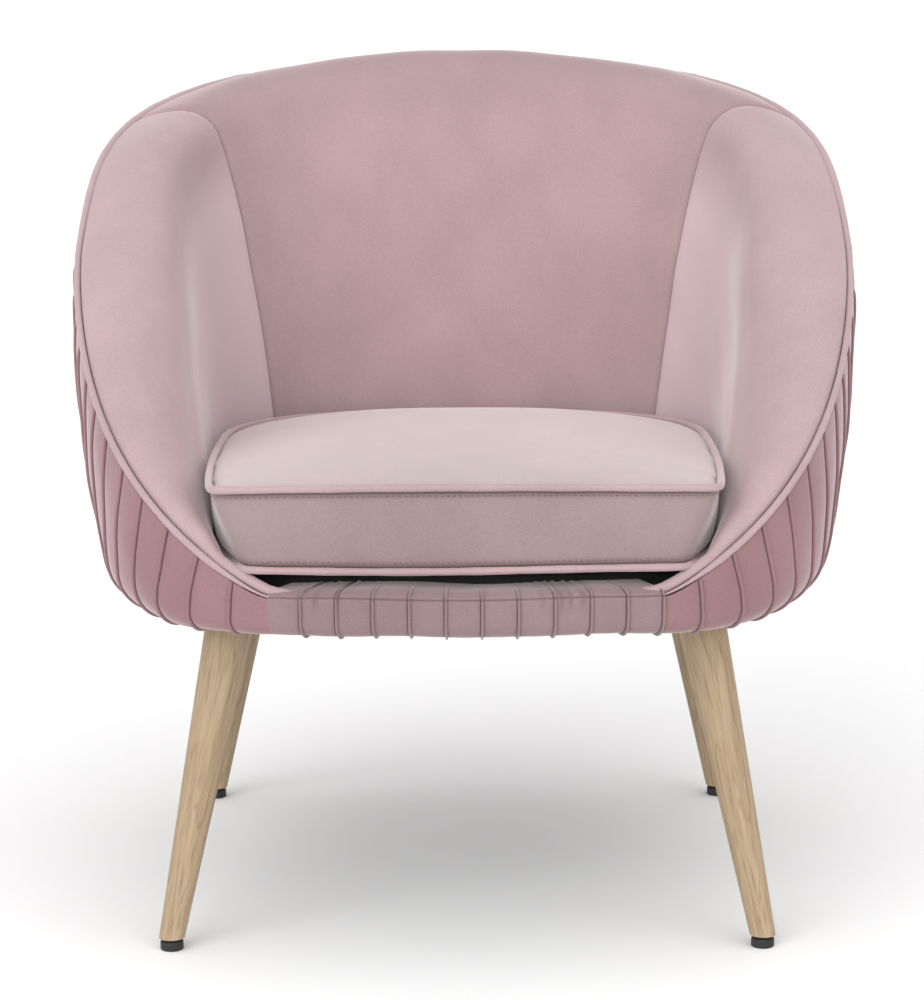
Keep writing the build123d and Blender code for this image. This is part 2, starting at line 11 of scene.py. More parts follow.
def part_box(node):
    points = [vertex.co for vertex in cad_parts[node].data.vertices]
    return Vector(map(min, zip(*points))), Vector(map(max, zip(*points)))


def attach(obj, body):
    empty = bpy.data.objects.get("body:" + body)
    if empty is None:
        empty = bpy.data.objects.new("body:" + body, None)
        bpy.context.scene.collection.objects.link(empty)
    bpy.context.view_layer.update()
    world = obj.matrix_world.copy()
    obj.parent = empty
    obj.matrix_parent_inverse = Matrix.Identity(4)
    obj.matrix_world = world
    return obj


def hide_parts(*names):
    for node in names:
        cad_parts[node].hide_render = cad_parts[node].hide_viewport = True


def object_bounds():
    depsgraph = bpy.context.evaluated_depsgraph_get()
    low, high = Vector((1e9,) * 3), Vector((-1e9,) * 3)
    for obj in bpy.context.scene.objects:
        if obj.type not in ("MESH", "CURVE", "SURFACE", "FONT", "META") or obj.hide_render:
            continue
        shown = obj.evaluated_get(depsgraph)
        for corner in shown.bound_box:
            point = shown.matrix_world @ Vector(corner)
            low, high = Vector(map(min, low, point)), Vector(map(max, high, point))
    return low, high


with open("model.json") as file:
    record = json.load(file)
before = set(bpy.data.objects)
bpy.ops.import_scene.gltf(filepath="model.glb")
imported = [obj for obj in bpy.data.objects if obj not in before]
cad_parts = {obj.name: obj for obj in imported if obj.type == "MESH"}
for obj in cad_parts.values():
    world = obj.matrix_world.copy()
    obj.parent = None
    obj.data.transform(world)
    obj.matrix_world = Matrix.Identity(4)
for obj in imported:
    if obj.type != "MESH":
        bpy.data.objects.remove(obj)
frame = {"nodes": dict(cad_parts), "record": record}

bl_info = {
    "name": "Tub Armchair",
    "version": (1, 0, 0),
    "blender": (4, 5, 0),
    "location": "View3D > Sidebar > Armchair",
    "description": "Upholsters and finishes a tub armchair around its frame",
    "category": "Add Mesh",
}

CAD_LOW, CAD_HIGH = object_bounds()

# ---- The chair's form ----
# Lengths are in metres and angles in radians. A bearing is 0 at the back (+Y) and 90 degrees at +X.
SHELL_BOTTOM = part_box("outer_back_cover")[0].z
CREST_HEIGHT = CAD_HIGH.z
SHELL_HALF_WIDTH = (CAD_HIGH.x - CAD_LOW.x) / 2
WIDEST_HEIGHT = 0.566
TUCK_BELOW_WIDEST = 0.62
TUCK_ABOVE_WIDEST = 0.30
BACK_REACH = 0.352
BACK_REACH_HEIGHT = 0.690
BACK_LEAN = 0.40
FRONT_REACH = 0.348
FRONT_RETREAT = 0.013
FRONT_RETREAT_RISE = 0.240
BACK_POWER = 3.0
FRONT_POWER_LOW = 3.5
FRONT_POWER_HIGH = 2.07
BOTTOM_ROUNDING = 0.032
FRONT_BOTTOM_ROUNDING = 0.014
ROUNDING_CHANGE = (radians(122), radians(150))
HEM_WIDTH = 0.026
RIM_BACK_HEIGHT = 0.766
RIM_END_HEIGHT = 0.338
RIM_END = radians(153)
RIM_FALL_START = 2.29
RIM_FALL_END = 1.28
ROLL_RISE = CREST_HEIGHT - RIM_BACK_HEIGHT
SHOULDER_LIFT = 0.0125
SHOULDER_FROM = (radians(22), radians(38))
SHOULDER_TO = (radians(70), radians(98))
CREST_SETBACK = 0.42
CREST_RUN = 0.18
WALL_RUN = 0.42
LINING_INSET = 0.003
LEAST_LINING = 0.014
LINING_TUCK = 0.004
ROLL_DROP = 0.55
ROLL_EASE = 0.10
ARM_SWELL = 0.012
SWELL_BEARING = radians(128)
SWELL_SPREAD = radians(26)
SWELL_HEIGHT = 0.400
SWELL_DEPTH = 0.045
TUB_FLOOR = 0.350
TUB_HALF_WIDTH = 0.244
TUB_HALF_WIDTH_GAIN = 0.050
TUB_BACK = 0.235
TUB_BACK_GAIN = 0.045
TUB_FRONT = 0.430
TUB_FRONT_LOSS = 0.020
TUB_GAIN_RISE = 0.400
TUB_POWER = 3.0
LINING_FOOT = 0.336
SEAM_AT_DECK = radians(44.5)
SEAM_SPREAD = radians(15)
SEAM_CURVE = 2.0
BAND_END = radians(153)
OUTER_SEAM = radians(57)
BAND_ROLL_RISE = 0.0058
LINING_END = radians(163)
TIP_START = radians(149)
TIP_DROP = 0.008
TIP_DEPTH = 0.008


def rounded_outline(bearing, half_width, back, front, back_power, front_power):
    """Distance from the Z axis to a rounded outline, along each bearing."""
    across = np.abs(np.sin(bearing)) + 1e-9
    along = np.cos(bearing)
    reach = np.where(along > 0, back, front)
    power = np.where(along > 0, back_power, front_power)
    return ((across / half_width) ** power + (np.abs(along) / reach) ** power) ** (-1 / power)


def eased(value):
    """A smooth step from 0 to 1."""
    value = np.clip(value, 0, 1)
    return value * value * (3 - 2 * value)


def bell(distance, width):
    """1 at no distance, falling smoothly to almost nothing at twice the width."""
    return np.exp(-((distance / width) ** 2))


def bottom_rounding(bearing):
    """Radius of the shell's lower edge: generous at the back and sides, tighter at the front."""
    from_back = np.abs(np.mod(bearing + pi, 2 * pi) - pi)
    start, end = ROUNDING_CHANGE
    change = eased((from_back - start) / (end - start))
    return BOTTOM_ROUNDING + (FRONT_BOTTOM_ROUNDING - BOTTOM_ROUNDING) * change


def shell_radius(bearing, z):
    """Outer face of the chair at a bearing and height."""
    above = z - WIDEST_HEIGHT
    tuck = np.where(above > 0, TUCK_ABOVE_WIDEST, TUCK_BELOW_WIDEST)
    half_width = SHELL_HALF_WIDTH - tuck * above**2
    back = BACK_REACH - BACK_LEAN * (z - BACK_REACH_HEIGHT) ** 2
    blend = np.clip((z - RIM_END_HEIGHT) / FRONT_RETREAT_RISE, 0, 1.2)
    front = FRONT_REACH - FRONT_RETREAT * blend
    front_power = FRONT_POWER_LOW + (FRONT_POWER_HIGH - FRONT_POWER_LOW) * blend
    radius = rounded_outline(bearing, half_width, back, front, BACK_POWER, front_power)
    rounding = bottom_rounding(bearing)
    below = np.clip(SHELL_BOTTOM + rounding - z, 0, rounding)
    return radius - (rounding - np.sqrt(rounding**2 - below**2))


def tub_radius(bearing, z):
    """Inside face of the tub below its rolled rim."""
    rise = (z - TUB_FLOOR) / TUB_GAIN_RISE
    half_width = TUB_HALF_WIDTH + TUB_HALF_WIDTH_GAIN * rise
    back = TUB_BACK + TUB_BACK_GAIN * rise
    front = TUB_FRONT - TUB_FRONT_LOSS * rise
    return rounded_outline(bearing, half_width, back, front, TUB_POWER, TUB_POWER)


def shoulder_lift(bearing):
    """At the shoulders the rim's seam climbs almost to the top of the roll."""
    (rise_from, rise_to), (fall_from, fall_to) = SHOULDER_FROM, SHOULDER_TO
    up = eased((np.abs(bearing) - rise_from) / (rise_to - rise_from))
    down = eased((np.abs(bearing) - fall_from) / (fall_to - fall_from))
    return SHOULDER_LIFT * up * (1 - down)


def welt_share(bearing):
    """The rim's welt is fullest at the shoulders and slimmer down the arms."""
    return 1 - 0.34 * eased((np.abs(bearing) - radians(55)) / radians(50))


def rim_height(bearing):
    along = np.clip(np.abs(bearing) / RIM_END, 0, 1)
    fall = RIM_BACK_HEIGHT - RIM_END_HEIGHT
    level = RIM_END_HEIGHT + fall * (1 - along**RIM_FALL_START) ** RIM_FALL_END
    return level + shoulder_lift(bearing)


def lining_section(bearing, run):
    """Radius and height on the padded inside face.

    run is 0 at the rim seam, CREST_RUN on the roll's crest, WALL_RUN where it meets the wall, and
    1 at the deck.
    """
    tucked = eased((np.abs(bearing) - TIP_START) / (LINING_END - TIP_START))
    rim = rim_height(bearing) - TIP_DROP * tucked
    outer = shell_radius(bearing, rim) - LINING_INSET - TIP_DEPTH * tucked
    inner = np.minimum(tub_radius(bearing, rim), outer - LEAST_LINING)
    thickness = outer - inner
    rise = np.minimum(ROLL_RISE - shoulder_lift(bearing), 0.75 * thickness) * (1 - 0.5 * tucked)
    crest = outer - CREST_SETBACK * thickness
    shoulder = np.maximum(rim - ROLL_DROP * thickness, LINING_FOOT)
    on_rim = run <= CREST_RUN
    on_roll = (run > CREST_RUN) & (run <= WALL_RUN)
    outwards = np.radians(90 * np.clip(run / CREST_RUN, 0, 1))
    inwards = np.radians(90 + 90 * np.clip((run - CREST_RUN) / (WALL_RUN - CREST_RUN), 0, 1))
    down = np.clip((run - WALL_RUN) / (1 - WALL_RUN), 0, 1)
    wall_z = shoulder + (LINING_FOOT - LINING_TUCK - shoulder) * down
    reach = crest - np.minimum(tub_radius(bearing, shoulder), inner)
    wall = np.minimum(tub_radius(bearing, wall_z), inner)
    radius = np.where(
        on_rim,
        crest + (outer - crest) * np.cos(outwards),
        np.where(on_roll, crest + reach * np.cos(inwards), wall),
    )
    height = np.where(
        on_rim,
        rim + rise * np.sin(outwards),
        np.where(on_roll, shoulder + (rim + rise - shoulder) * np.sin(inwards), wall_z),
    )
    swell = bell(np.abs(bearing) - SWELL_BEARING, SWELL_SPREAD)
    swell = swell * bell(height - SWELL_HEIGHT, SWELL_DEPTH) * eased((run - 0.30) / 0.25)
    return radius - ARM_SWELL * swell, height


def lining(bearing, run):
    """The lining's section with the turn from its roll into its wall eased."""
    reach = ROLL_EASE * np.clip(run / 0.40, 0, 1) ** 2 * np.clip((1 - run) / 0.15, 0, 1)
    near = [lining_section(bearing, run + reach * step) for step in (-1, -0.6, -0.2, 0.2, 0.6, 1)]
    return sum(radius for radius, _ in near) / 6, sum(height for _, height in near) / 6


def on_bearing(bearing, radius, z):
    """Points from bearing, radius and height."""
    return np.stack([radius * np.sin(bearing), radius * np.cos(bearing), z + 0 * radius], -1)


def gaps(points, axis=0):
    """Distances between neighbouring points along an axis of an array of points."""
    return np.linalg.norm(np.diff(points, axis=axis), axis=-1)


def seam_bearing(run):
    """Bearing of the seam between back and arm, which leans outwards towards the rim."""
    return SEAM_AT_DECK + SEAM_SPREAD * (1 - run) ** SEAM_CURVE


# ---- Working on pieces ----
def only(piece):
    """Makes one piece the selected and active one."""
    bpy.ops.object.select_all(action="DESELECT")
    piece.select_set(True)
    bpy.context.view_layer.objects.active = piece
    return piece


def apply_modifier(piece, kind, **settings):
    only(piece)
    modifier = piece.modifiers.new(kind.lower(), kind)
    for key, value in settings.items():
        setattr(modifier, key, value)
    bpy.ops.object.modifier_apply(modifier=modifier.name)
    return piece


def edit(piece, *steps):
    """Runs edit-mode operators on all of a piece."""
    only(piece)
    bpy.ops.object.mode_set(mode="EDIT")
    bpy.ops.mesh.select_all(action="SELECT")
    for operator, settings in steps:
        operator(**settings)
    bpy.ops.object.mode_set(mode="OBJECT")
    return piece


def points_of(piece):
    flat = np.empty(len(piece.data.vertices) * 3, np.float32)
    piece.data.vertices.foreach_get("co", flat)
    return flat.reshape(-1, 3).astype(float)


def move_points(piece, points):
    piece.data.vertices.foreach_set("co", np.asarray(points, np.float32).ravel())
    piece.data.update()


def facing(surface, outwards):
    """Unit normals of a grid of points, and 1 if they face the way asked for, or -1 if not."""
    normal = np.cross(np.gradient(surface, axis=1), np.gradient(surface, axis=0))
    normal /= np.maximum(np.linalg.norm(normal, axis=-1, keepdims=True), 1e-12)
    away = surface * np.array([1, 1, 0]) * (1 if outwards else -1) + np.array([0, 0, 0.2])
    return normal, np.sign((normal * away).sum(-1).mean())


def pushed(surface, amount, outwards):
    """The surface moved along its normals, outwards from the Z axis or towards it."""
    normal, sign = facing(surface, outwards)
    return surface + normal * (sign * amount)[..., None]


def cloth_from(name, surface, outwards=True, closed=False, thickness=0.0, crease=None):
    """A piece whose grid primitive is laid over the surface, a rows by columns array of points.

    The last argument, if given, is painted shade at each point, darkening its finish's colour
    in folds, seams and along edges; negative values are painted light.
    """
    rows, columns = surface.shape[:2]
    crease = np.zeros((rows, columns)) if crease is None else crease + np.zeros((rows, columns))
    if facing(surface, outwards)[1] < 0:
        surface, crease = surface[:, ::-1], crease[:, ::-1]
    bpy.ops.object.select_all(action="DESELECT")
    bpy.ops.mesh.primitive_grid_add(x_subdivisions=columns - 1, y_subdivisions=rows - 1, size=2)
    piece = bpy.context.object
    piece.name = piece.data.name = name
    flat = points_of(piece)
    column = np.rint((flat[:, 0] + 1) / 2 * (columns - 1)).astype(int)
    row = np.rint((flat[:, 1] + 1) / 2 * (rows - 1)).astype(int)
    move_points(piece, surface[row, column])
    mark_painted_shading(piece, crease[row, column])
    if closed:
        edit(piece, (bpy.ops.mesh.remove_doubles, {"threshold": 1e-5}))
    if thickness:
        apply_modifier(piece, "SOLIDIFY", thickness=thickness, offset=-1)
    smooth(piece)
    return piece


# Stores painted light and shade at each point, for the velvet finish to mix into its colour.
def mark_painted_shading(piece, depth):
    layer = piece.data.attributes.new("crease", "FLOAT", "POINT")
    layer.data.foreach_set("value", np.asarray(depth, np.float32).ravel())


def smooth(piece, angle=70):
    only(piece)
    bpy.ops.object.shade_smooth_by_angle(angle=radians(angle))


def dress(piece, finish, slot, body, *nodes):
    """Gives a piece its finish and its body, and hides the nodes it stands for; its slot is not
    used.
    """
    piece.data.materials.append(bpy.data.materials[finish])
    if nodes:
        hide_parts(*nodes)
    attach(piece, body)


def refinish(node, finish):
    """Gives a part of the frame a finish in place of its own."""
    node.data.materials.clear()
    node.data.materials.append(finish)


def close_open_edges(piece):
    """Fills a piece's open rims and turns all its faces outwards."""
    edit(piece, (bpy.ops.mesh.select_all, {"action": "DESELECT"}),
         (bpy.ops.mesh.select_non_manifold, {}), (bpy.ops.mesh.edge_face_add, {}),
         (bpy.ops.mesh.select_all, {"action": "SELECT"}),
         (bpy.ops.mesh.normals_make_consistent, {"inside": False}))


def spread_in(count, crowding=0.8):
    """Shares from 0 to 1, closer together towards both ends."""
    even = np.linspace(0, 1, count)
    return even * (1 - crowding) + (0.5 - 0.5 * np.cos(pi * even)) * crowding


def ripple(points, *waves):
    """Gentle unevenness: a sum of plane waves, each (height, waves a metre in x, y, z, phase)."""
    total = np.zeros(points.shape[:-1])
    for height, x, y, z, phase in waves:
        turn = points[..., 0] * x + points[..., 1] * y + points[..., 2] * z
        total += height * np.sin(2 * pi * turn + phase)
    return total


SOFT_WAVES = (
    (0.0007, 4.1, 2.3, 3.2, 0.4),
    (0.0005, -6.3, 3.7, 7.9, 1.9),
    (0.0003, 11.0, -9.0, 13.0, 2.7),
)


def tube(name, line, radius, closed=False, sides=12):
    """A round welt along a line of points; radius may vary along it."""
    line = np.asarray(line, float)
    if closed:
        ahead, behind = np.roll(line, -1, 0), np.roll(line, 1, 0)
    else:
        ahead, behind = np.vstack([line[1:], line[-1:]]), np.vstack([line[:1], line[:-1]])
    tangent = ahead - behind
    tangent /= np.linalg.norm(tangent, axis=1, keepdims=True)
    side = np.cross(tangent, [0, 0, 1.0])
    side /= np.linalg.norm(side, axis=1, keepdims=True)
    lift = np.cross(side, tangent)
    turn = np.linspace(0, 2 * pi, sides + 1)
    radius = np.broadcast_to(radius, len(line))[:, None, None]
    ring = side[:, None] * np.cos(turn)[None, :, None] + lift[:, None] * np.sin(turn)[None, :, None]
    surface = line[:, None] + ring * radius
    if closed:
        surface = np.concatenate([surface, surface[:1]])
    piece = cloth_from(name, surface, closed=True)
    if closed:
        edit(piece, (bpy.ops.mesh.normals_make_consistent, {"inside": False}))
    else:
        close_open_edges(piece)
    smooth(piece)
    return piece


# ---- Finishes ----
class Thread:
    """An output socket of a finish's nodes; sums and products of threads add their own nodes."""

    def __init__(self, finish, socket):
        self.finish = finish
        self.socket = socket

    def maths(self, operation, first, second):
        sockets = {0: first, 1: second}
        return self.finish.node("ShaderNodeMath", {"operation": operation}, sockets)

    def __add__(self, other):
        return self.maths("ADD", self, other)

    def __sub__(self, other):
        return self.maths("SUBTRACT", self, other)

    def __rsub__(self, other):
        return self.maths("SUBTRACT", other, self)

    def __mul__(self, other):
        return self.maths("MULTIPLY", self, other)

    def __pow__(self, other):
        return self.maths("POWER", self, other)

    __radd__ = __add__
    __rmul__ = __mul__


class Finish:
    """A material built node by node around one Principled shader."""

    def __init__(self, name, **constants):
        self.material = bpy.data.materials.new(name)
        self.material.use_nodes = True
        self.tree = self.material.node_tree
        self.shader = self.tree.nodes["Principled BSDF"]
        for socket, value in constants.items():
            self.shader.inputs[socket.replace("_", " ")].default_value = value

    def node(self, kind, settings=None, sockets=None, output=0):
        made = self.tree.nodes.new(kind)
        for key, value in (settings or {}).items():
            if key == "stops":
                while len(made.color_ramp.elements) < len(value):
                    made.color_ramp.elements.new(1.0)
                for element, (place, colour) in zip(made.color_ramp.elements, value):
                    element.position = place
                    element.color = colour if len(colour) == 4 else (*colour, 1)
            else:
                setattr(made, key, value)
        for key, value in (sockets or {}).items():
            if isinstance(value, Thread):
                self.tree.links.new(value.socket, made.inputs[key])
            else:
                made.inputs[key].default_value = value
        return Thread(self, made.outputs[output])

    def place(self, scale=(1, 1, 1), turn=(0, 0, 0), centre=(0, 0, 0)):
        """Object coordinates, moved to a centre, turned and scaled."""
        spot = self.node("ShaderNodeTexCoord", output=3)
        sockets = {"Vector": spot, "Scale": scale}
        if not any(turn) and not any(centre):
            return self.node("ShaderNodeMapping", {}, sockets)
        sockets.update({"Location": centre, "Rotation": turn})
        return self.node("ShaderNodeMapping", {"vector_type": "TEXTURE"}, sockets)

    def noise(self, where, scale, detail=3.0, roughness=0.5, distortion=0.0):
        sockets = {"Vector": where, "Scale": scale, "Detail": detail, "Roughness": roughness,
                   "Distortion": distortion}
        return self.node("ShaderNodeTexNoise", {}, sockets)

    def mix(self, share, first, second):
        sockets = {0: share, 6: self.colour(first), 7: self.colour(second)}
        return self.node("ShaderNodeMix", {"data_type": "RGBA"}, sockets, output=2)

    @staticmethod
    def colour(value):
        return value if isinstance(value, Thread) else (*value[:3], 1)

    def ramp(self, share, *stops):
        return self.node("ShaderNodeValToRGB", {"stops": stops}, {"Fac": share})

    def bump(self, height, strength, distance, under=None):
        sockets = {"Height": height, "Strength": strength, "Distance": distance}
        if under is not None:
            sockets["Normal"] = under
        return self.node("ShaderNodeBump", {}, sockets)

    def feed(self, **links):
        for socket, thread in links.items():
            self.tree.links.new(thread.socket, self.shader.inputs[socket.replace("_", " ")])
        return self.material


def velvet_finish(name, colour, nap=0.5):
    """Short-pile velvet: broad patches in the pile's lie, fine pile and a soft sheen at grazing
    angles.

    Its per-point attribute of painted light and shade darkens its colour where positive, as painted
    shade in folds, seams and along edges, and lightens it where negative, as painted light.
    """
    finish = Finish(name, Sheen_Weight=0.75, Sheen_Roughness=0.38, Specular_IOR_Level=0.2,
                    Sheen_Tint=(1.0, 0.93, 0.93, 1))
    where = finish.place()
    patches = finish.noise(where, 6.0, 2.0, 0.5, 0.4)
    strokes = finish.noise(finish.place(scale=(1.0, 1.0, 0.5)), 30.0, 4.0, 0.6, 0.3)
    pile = finish.noise(where, 700.0, 2.0, 0.7)
    lie = patches * 0.36 + strokes * 0.18 + pile * 0.46
    dark = [channel * (1 - 0.22 * nap) for channel in colour]
    light = [min(channel * (1 + 0.16 * nap) + 0.012, 1) for channel in colour]
    pile_tint = finish.ramp(lie, (0.36, dark), (0.62, light))
    # Painted light and shade: the colour is mixed towards a painted lighter tone, then towards a
    # painted shadow colour.
    crease = finish.node("ShaderNodeAttribute", {"attribute_name": "crease"}, output=2)
    shadow = [channel * share for channel, share in zip(colour, (0.17, 0.09, 0.10))]
    painted_light_colour = [min(channel * share, 1) for channel, share in zip(colour, (1.44, 1.60, 1.60))]
    pile_and_painted_light = finish.mix(crease * -1.0, pile_tint, painted_light_colour)
    tint = finish.mix(crease * 0.92, pile_and_painted_light, shadow)
    rough = 0.92 - patches * 0.12
    fuzz = finish.bump(pile, 0.35, 0.0006)
    nap_bump = finish.bump(strokes, 0.12, 0.0012, fuzz)
    return finish.feed(Base_Color=tint, Roughness=rough, Normal=nap_bump)


def oak_finish(name, light, dark, centre, direction):
    """Light oak: grain runs along the leg, with pores and a slow change of tone."""
    finish = Finish(name, Coat_Weight=0.08, Coat_Roughness=0.35, Specular_IOR_Level=0.35)
    turn = Vector((0, 0, 1)).rotation_difference(direction).to_euler()
    where = finish.place(scale=(1, 1, 1), turn=tuple(turn), centre=tuple(centre))
    along = {"operation": "MULTIPLY"}
    stretch = finish.node("ShaderNodeVectorMath", along, {0: where, 1: (1.0, 1.0, 0.04)})
    wander = finish.node("ShaderNodeVectorMath", along, {0: where, 1: (1.0, 1.0, 0.10)})
    grain = finish.noise(stretch, 210.0, 5.0, 0.62, 0.3)
    bands = finish.noise(wander, 46.0, 2.0, 0.5, 0.8)
    pores = finish.noise(stretch, 640.0, 2.0, 0.5)
    tone = finish.noise(where, 9.0, 2.0)
    share = grain * 0.45 + bands * 0.30 + tone * 0.25
    middle = [(a + b) / 2 for a, b in zip(light, dark)]
    wood = finish.ramp(share, (0.28, dark), (0.46, middle), (0.62, light))
    rings = finish.ramp(bands, (0.468, (1, 1, 1)), (0.484, (0.62, 0.47, 0.34)), (0.500, (1, 1, 1)))
    specks = finish.ramp(pores, (0.34, (0.55, 0.5, 0.45)), (0.46, (1, 1, 1)))
    for marks, strength in ((rings, 0.6), (specks, 0.5)):
        wood = finish.node("ShaderNodeMix", {"data_type": "RGBA", "blend_type": "MULTIPLY"},
                           {0: strength, 6: wood, 7: marks}, output=2)
    relief = finish.bump(pores * 0.5 + grain * 0.5, 0.22, 0.0006)
    return finish.feed(Base_Color=wood, Roughness=0.42 + grain * 0.2, Normal=relief)


def plastic_finish(name, colour):
    finish = Finish(name, Specular_IOR_Level=0.4)
    where = finish.place()
    grain = finish.noise(where, 1400.0, 2.0)
    wear = finish.noise(where, 60.0, 3.0)
    tint = finish.mix(wear, colour, [channel * 1.6 + 0.01 for channel in colour])
    relief = finish.bump(grain, 0.15, 0.0002)
    return finish.feed(Base_Color=tint, Roughness=0.45 + wear * 0.2, Normal=relief)


def steel_finish(name, colour):
    finish = Finish(name, Metallic=1.0)
    where = finish.place(scale=(1, 1, 0.1))
    scratches = finish.noise(where, 900.0, 3.0, 0.6)
    tint = finish.mix(scratches, [c * 0.82 for c in colour], colour)
    return finish.feed(Base_Color=tint, Roughness=0.28 + scratches * 0.2,
                       Normal=finish.bump(scratches, 0.1, 0.0002))


def plywood_finish(name, light, dark, flat):
    """Plies seen as bands across the board's thickness, with a faint face grain."""
    finish = Finish(name, Specular_IOR_Level=0.3)
    where = finish.place(scale=(1, 1, 1) if flat else (1, 1, 0.08))
    plies = finish.node("ShaderNodeTexWave", {"wave_type": "BANDS", "bands_direction": "Z"},
                        {"Vector": where, "Scale": 100.0 if flat else 12.0, "Distortion": 0.6})
    grain = finish.noise(finish.place(scale=(1, 0.08, 1)), 160.0, 4.0, 0.6)
    tint = finish.ramp(plies * 0.45 + grain * 0.55, (0.3, dark), (0.7, light))
    relief = finish.bump(grain, 0.2, 0.0005)
    return finish.feed(Base_Color=tint, Roughness=0.62 + grain * 0.2, Normal=relief)


def weave_finish(name, colour, pitch, strength):
    """Plain woven or pressed cloth: crossing threads of one colour."""
    finish = Finish(name, Sheen_Weight=0.15, Specular_IOR_Level=0.2)
    where = finish.place()
    waves = {"wave_type": "BANDS", "wave_profile": "SIN"}
    scale = 1 / (pitch * 2 * pi) * 2
    warp = finish.node("ShaderNodeTexWave", {**waves, "bands_direction": "X"},
                       {"Vector": where, "Scale": scale})
    weft = finish.node("ShaderNodeTexWave", {**waves, "bands_direction": "Y"},
                       {"Vector": where, "Scale": scale})
    fluff = finish.noise(where, 300.0, 3.0, 0.6)
    threads = warp * weft
    shade = [c * 0.55 for c in colour]
    tint = finish.ramp(threads * 0.6 + fluff * 0.4, (0.1, shade), (0.75, colour))
    return finish.feed(Base_Color=tint, Roughness=0.8 + fluff * 0.15,
                       Normal=finish.bump(threads + fluff * 0.5, strength, 0.0006))


# ---- Sizes and colours that a user would change ----
def length(name, default, note, low=0.0, high=5.0):
    return bpy.props.FloatProperty(
        name=name, default=default, min=low, max=high, unit="LENGTH", precision=4, description=note
    )


def tint(name, default, note):
    return bpy.props.FloatVectorProperty(
        name=name, default=default, size=3, min=0, max=1, subtype="COLOR", description=note
    )


# A panel's tone comes partly from the pile's direction and partly from painted light and shade, so
# the panels' velvets are lighter and darker copies of one colour.
def nap(part, default):
    return tint(f"Nap of the {part}", default, "Tone that the pile's direction gives")


class ArmchairSewing(bpy.types.PropertyGroup):
    """Seams, tucks and welts."""

    pleat_pitch: length("Pleat pitch", 0.0335, "Distance between the outer cover's pleats")
    pleat_height: length("Pleat height", 0.0024, "How far a pleat stands out")
    band_pitch: length("Band tuck pitch", 0.0322, "Distance between the front band's tucks")
    rim_welt: length("Rim welt radius", 0.0046, "Half the thickness of the rim's welt")
    seam_depth: length("Seam depth", 0.0022, "How deep the lining's seams pull in")
    stitch: length("Stitch length", 0.0042, "Length of one stitch of the cushion's top stitching")


class ArmchairCushion(bpy.types.PropertyGroup):
    """The loose seat cushion."""

    front_top: length("Front top", 0.4325, "Height of the top welt at the front")
    front_bottom: length("Front bottom", 0.3605, "Height of the bottom welt at the front")
    rear_drop: length("Rear drop", 0.018, "How much lower the top welt is at the back")
    crown: length("Crown", 0.009, "How far the top stands above its welt before it is filled")
    welt: length("Welt radius", 0.0034, "Half the thickness of the cushion's welts")
    pressure: bpy.props.FloatProperty(
        name="Filling pressure", default=4.0, min=0, max=20,
        description="How hard the filling presses on the cover",
    )


class ArmchairColours(bpy.types.PropertyGroup):
    """Colours of the finishes."""

    velvet: tint("Velvet", (0.50, 0.370, 0.380), "Dusty pink velvet")
    nap_and_painted_light_back: nap("back", (0.80, 0.755, 0.76))
    nap_and_painted_light_arm: nap("arms", (0.83, 0.80, 0.81))
    nap_and_painted_light_shell: nap("shell", (0.61, 0.47, 0.485))
    nap_and_painted_light_band: nap("front band", (0.52, 0.47, 0.48))
    nap_and_painted_light_seat: nap("seat", (0.91, 1.0, 0.975))
    nap_and_painted_light_boxing: nap("boxing", (0.58, 0.58, 0.58))
    thread: tint("Thread", (0.38, 0.32, 0.34), "Tone of the stitching, as a share of the velvet")
    oak_light: tint("Light oak", (0.455, 0.345, 0.222), "Light tone of the legs")
    oak_dark: tint("Dark oak", (0.30, 0.205, 0.120), "Dark tone of the legs' grain")
    black: tint("Black", (0.012, 0.012, 0.013), "Glides and the cloth under the seat")
    floor: tint("Floor", (0.98, 0.98, 0.98), "Studio floor")


# ---- Padded lining of the tub ----
RIM_SHADE = 0.9
SEAM_SHADE = 0.20
CREST_SHADE = 0.25
# Painted light: how much lighter the arms' inside faces are painted.
INSIDE_ARM_PAINTED_LIGHT = 0.8
RIM_SHADE_RUN = 0.022
SEAM_SHADE_WIDTH = 0.0010
SEAM_WIDTH = 0.0060
STITCH_PULL = 0.0022
STITCH_WIDTH = 0.0016
LINING_THICKNESS = 0.004
LINING_CROWN = 0.004
LINING_SINK = 0.0045
LINING_SINK_RUN = 0.03
RIM_EASE_RUN = 0.10
TIP_FADE = radians(8)


def seam_pull(distance, depth):
    """How far a lining pulls in beside a seam, at a distance from it."""
    return -depth * bell(distance, SEAM_WIDTH) - STITCH_PULL * bell(distance, STITCH_WIDTH)


def lining_painted_shading(bearings, run, to_seams, is_back):
    """Painted shade along the rim and the seams, the back painted darker along its crest, and
    painted light on the arms' inside faces.
    """
    crease = RIM_SHADE * bell(run, RIM_SHADE_RUN)
    for distance in to_seams:
        crease = np.maximum(crease, SEAM_SHADE * bell(distance, SEAM_SHADE_WIDTH))
    if is_back:
        return np.maximum(crease, CREST_SHADE * bell(run - 0.24, 0.14))
    away_from_front = 1 - eased((np.abs(bearings) - radians(70)) / radians(55))
    inside = eased((run - 0.38) / 0.16) * away_from_front
    return crease - INSIDE_ARM_PAINTED_LIGHT * inside * (1 - np.clip(4 * crease, 0, 1))


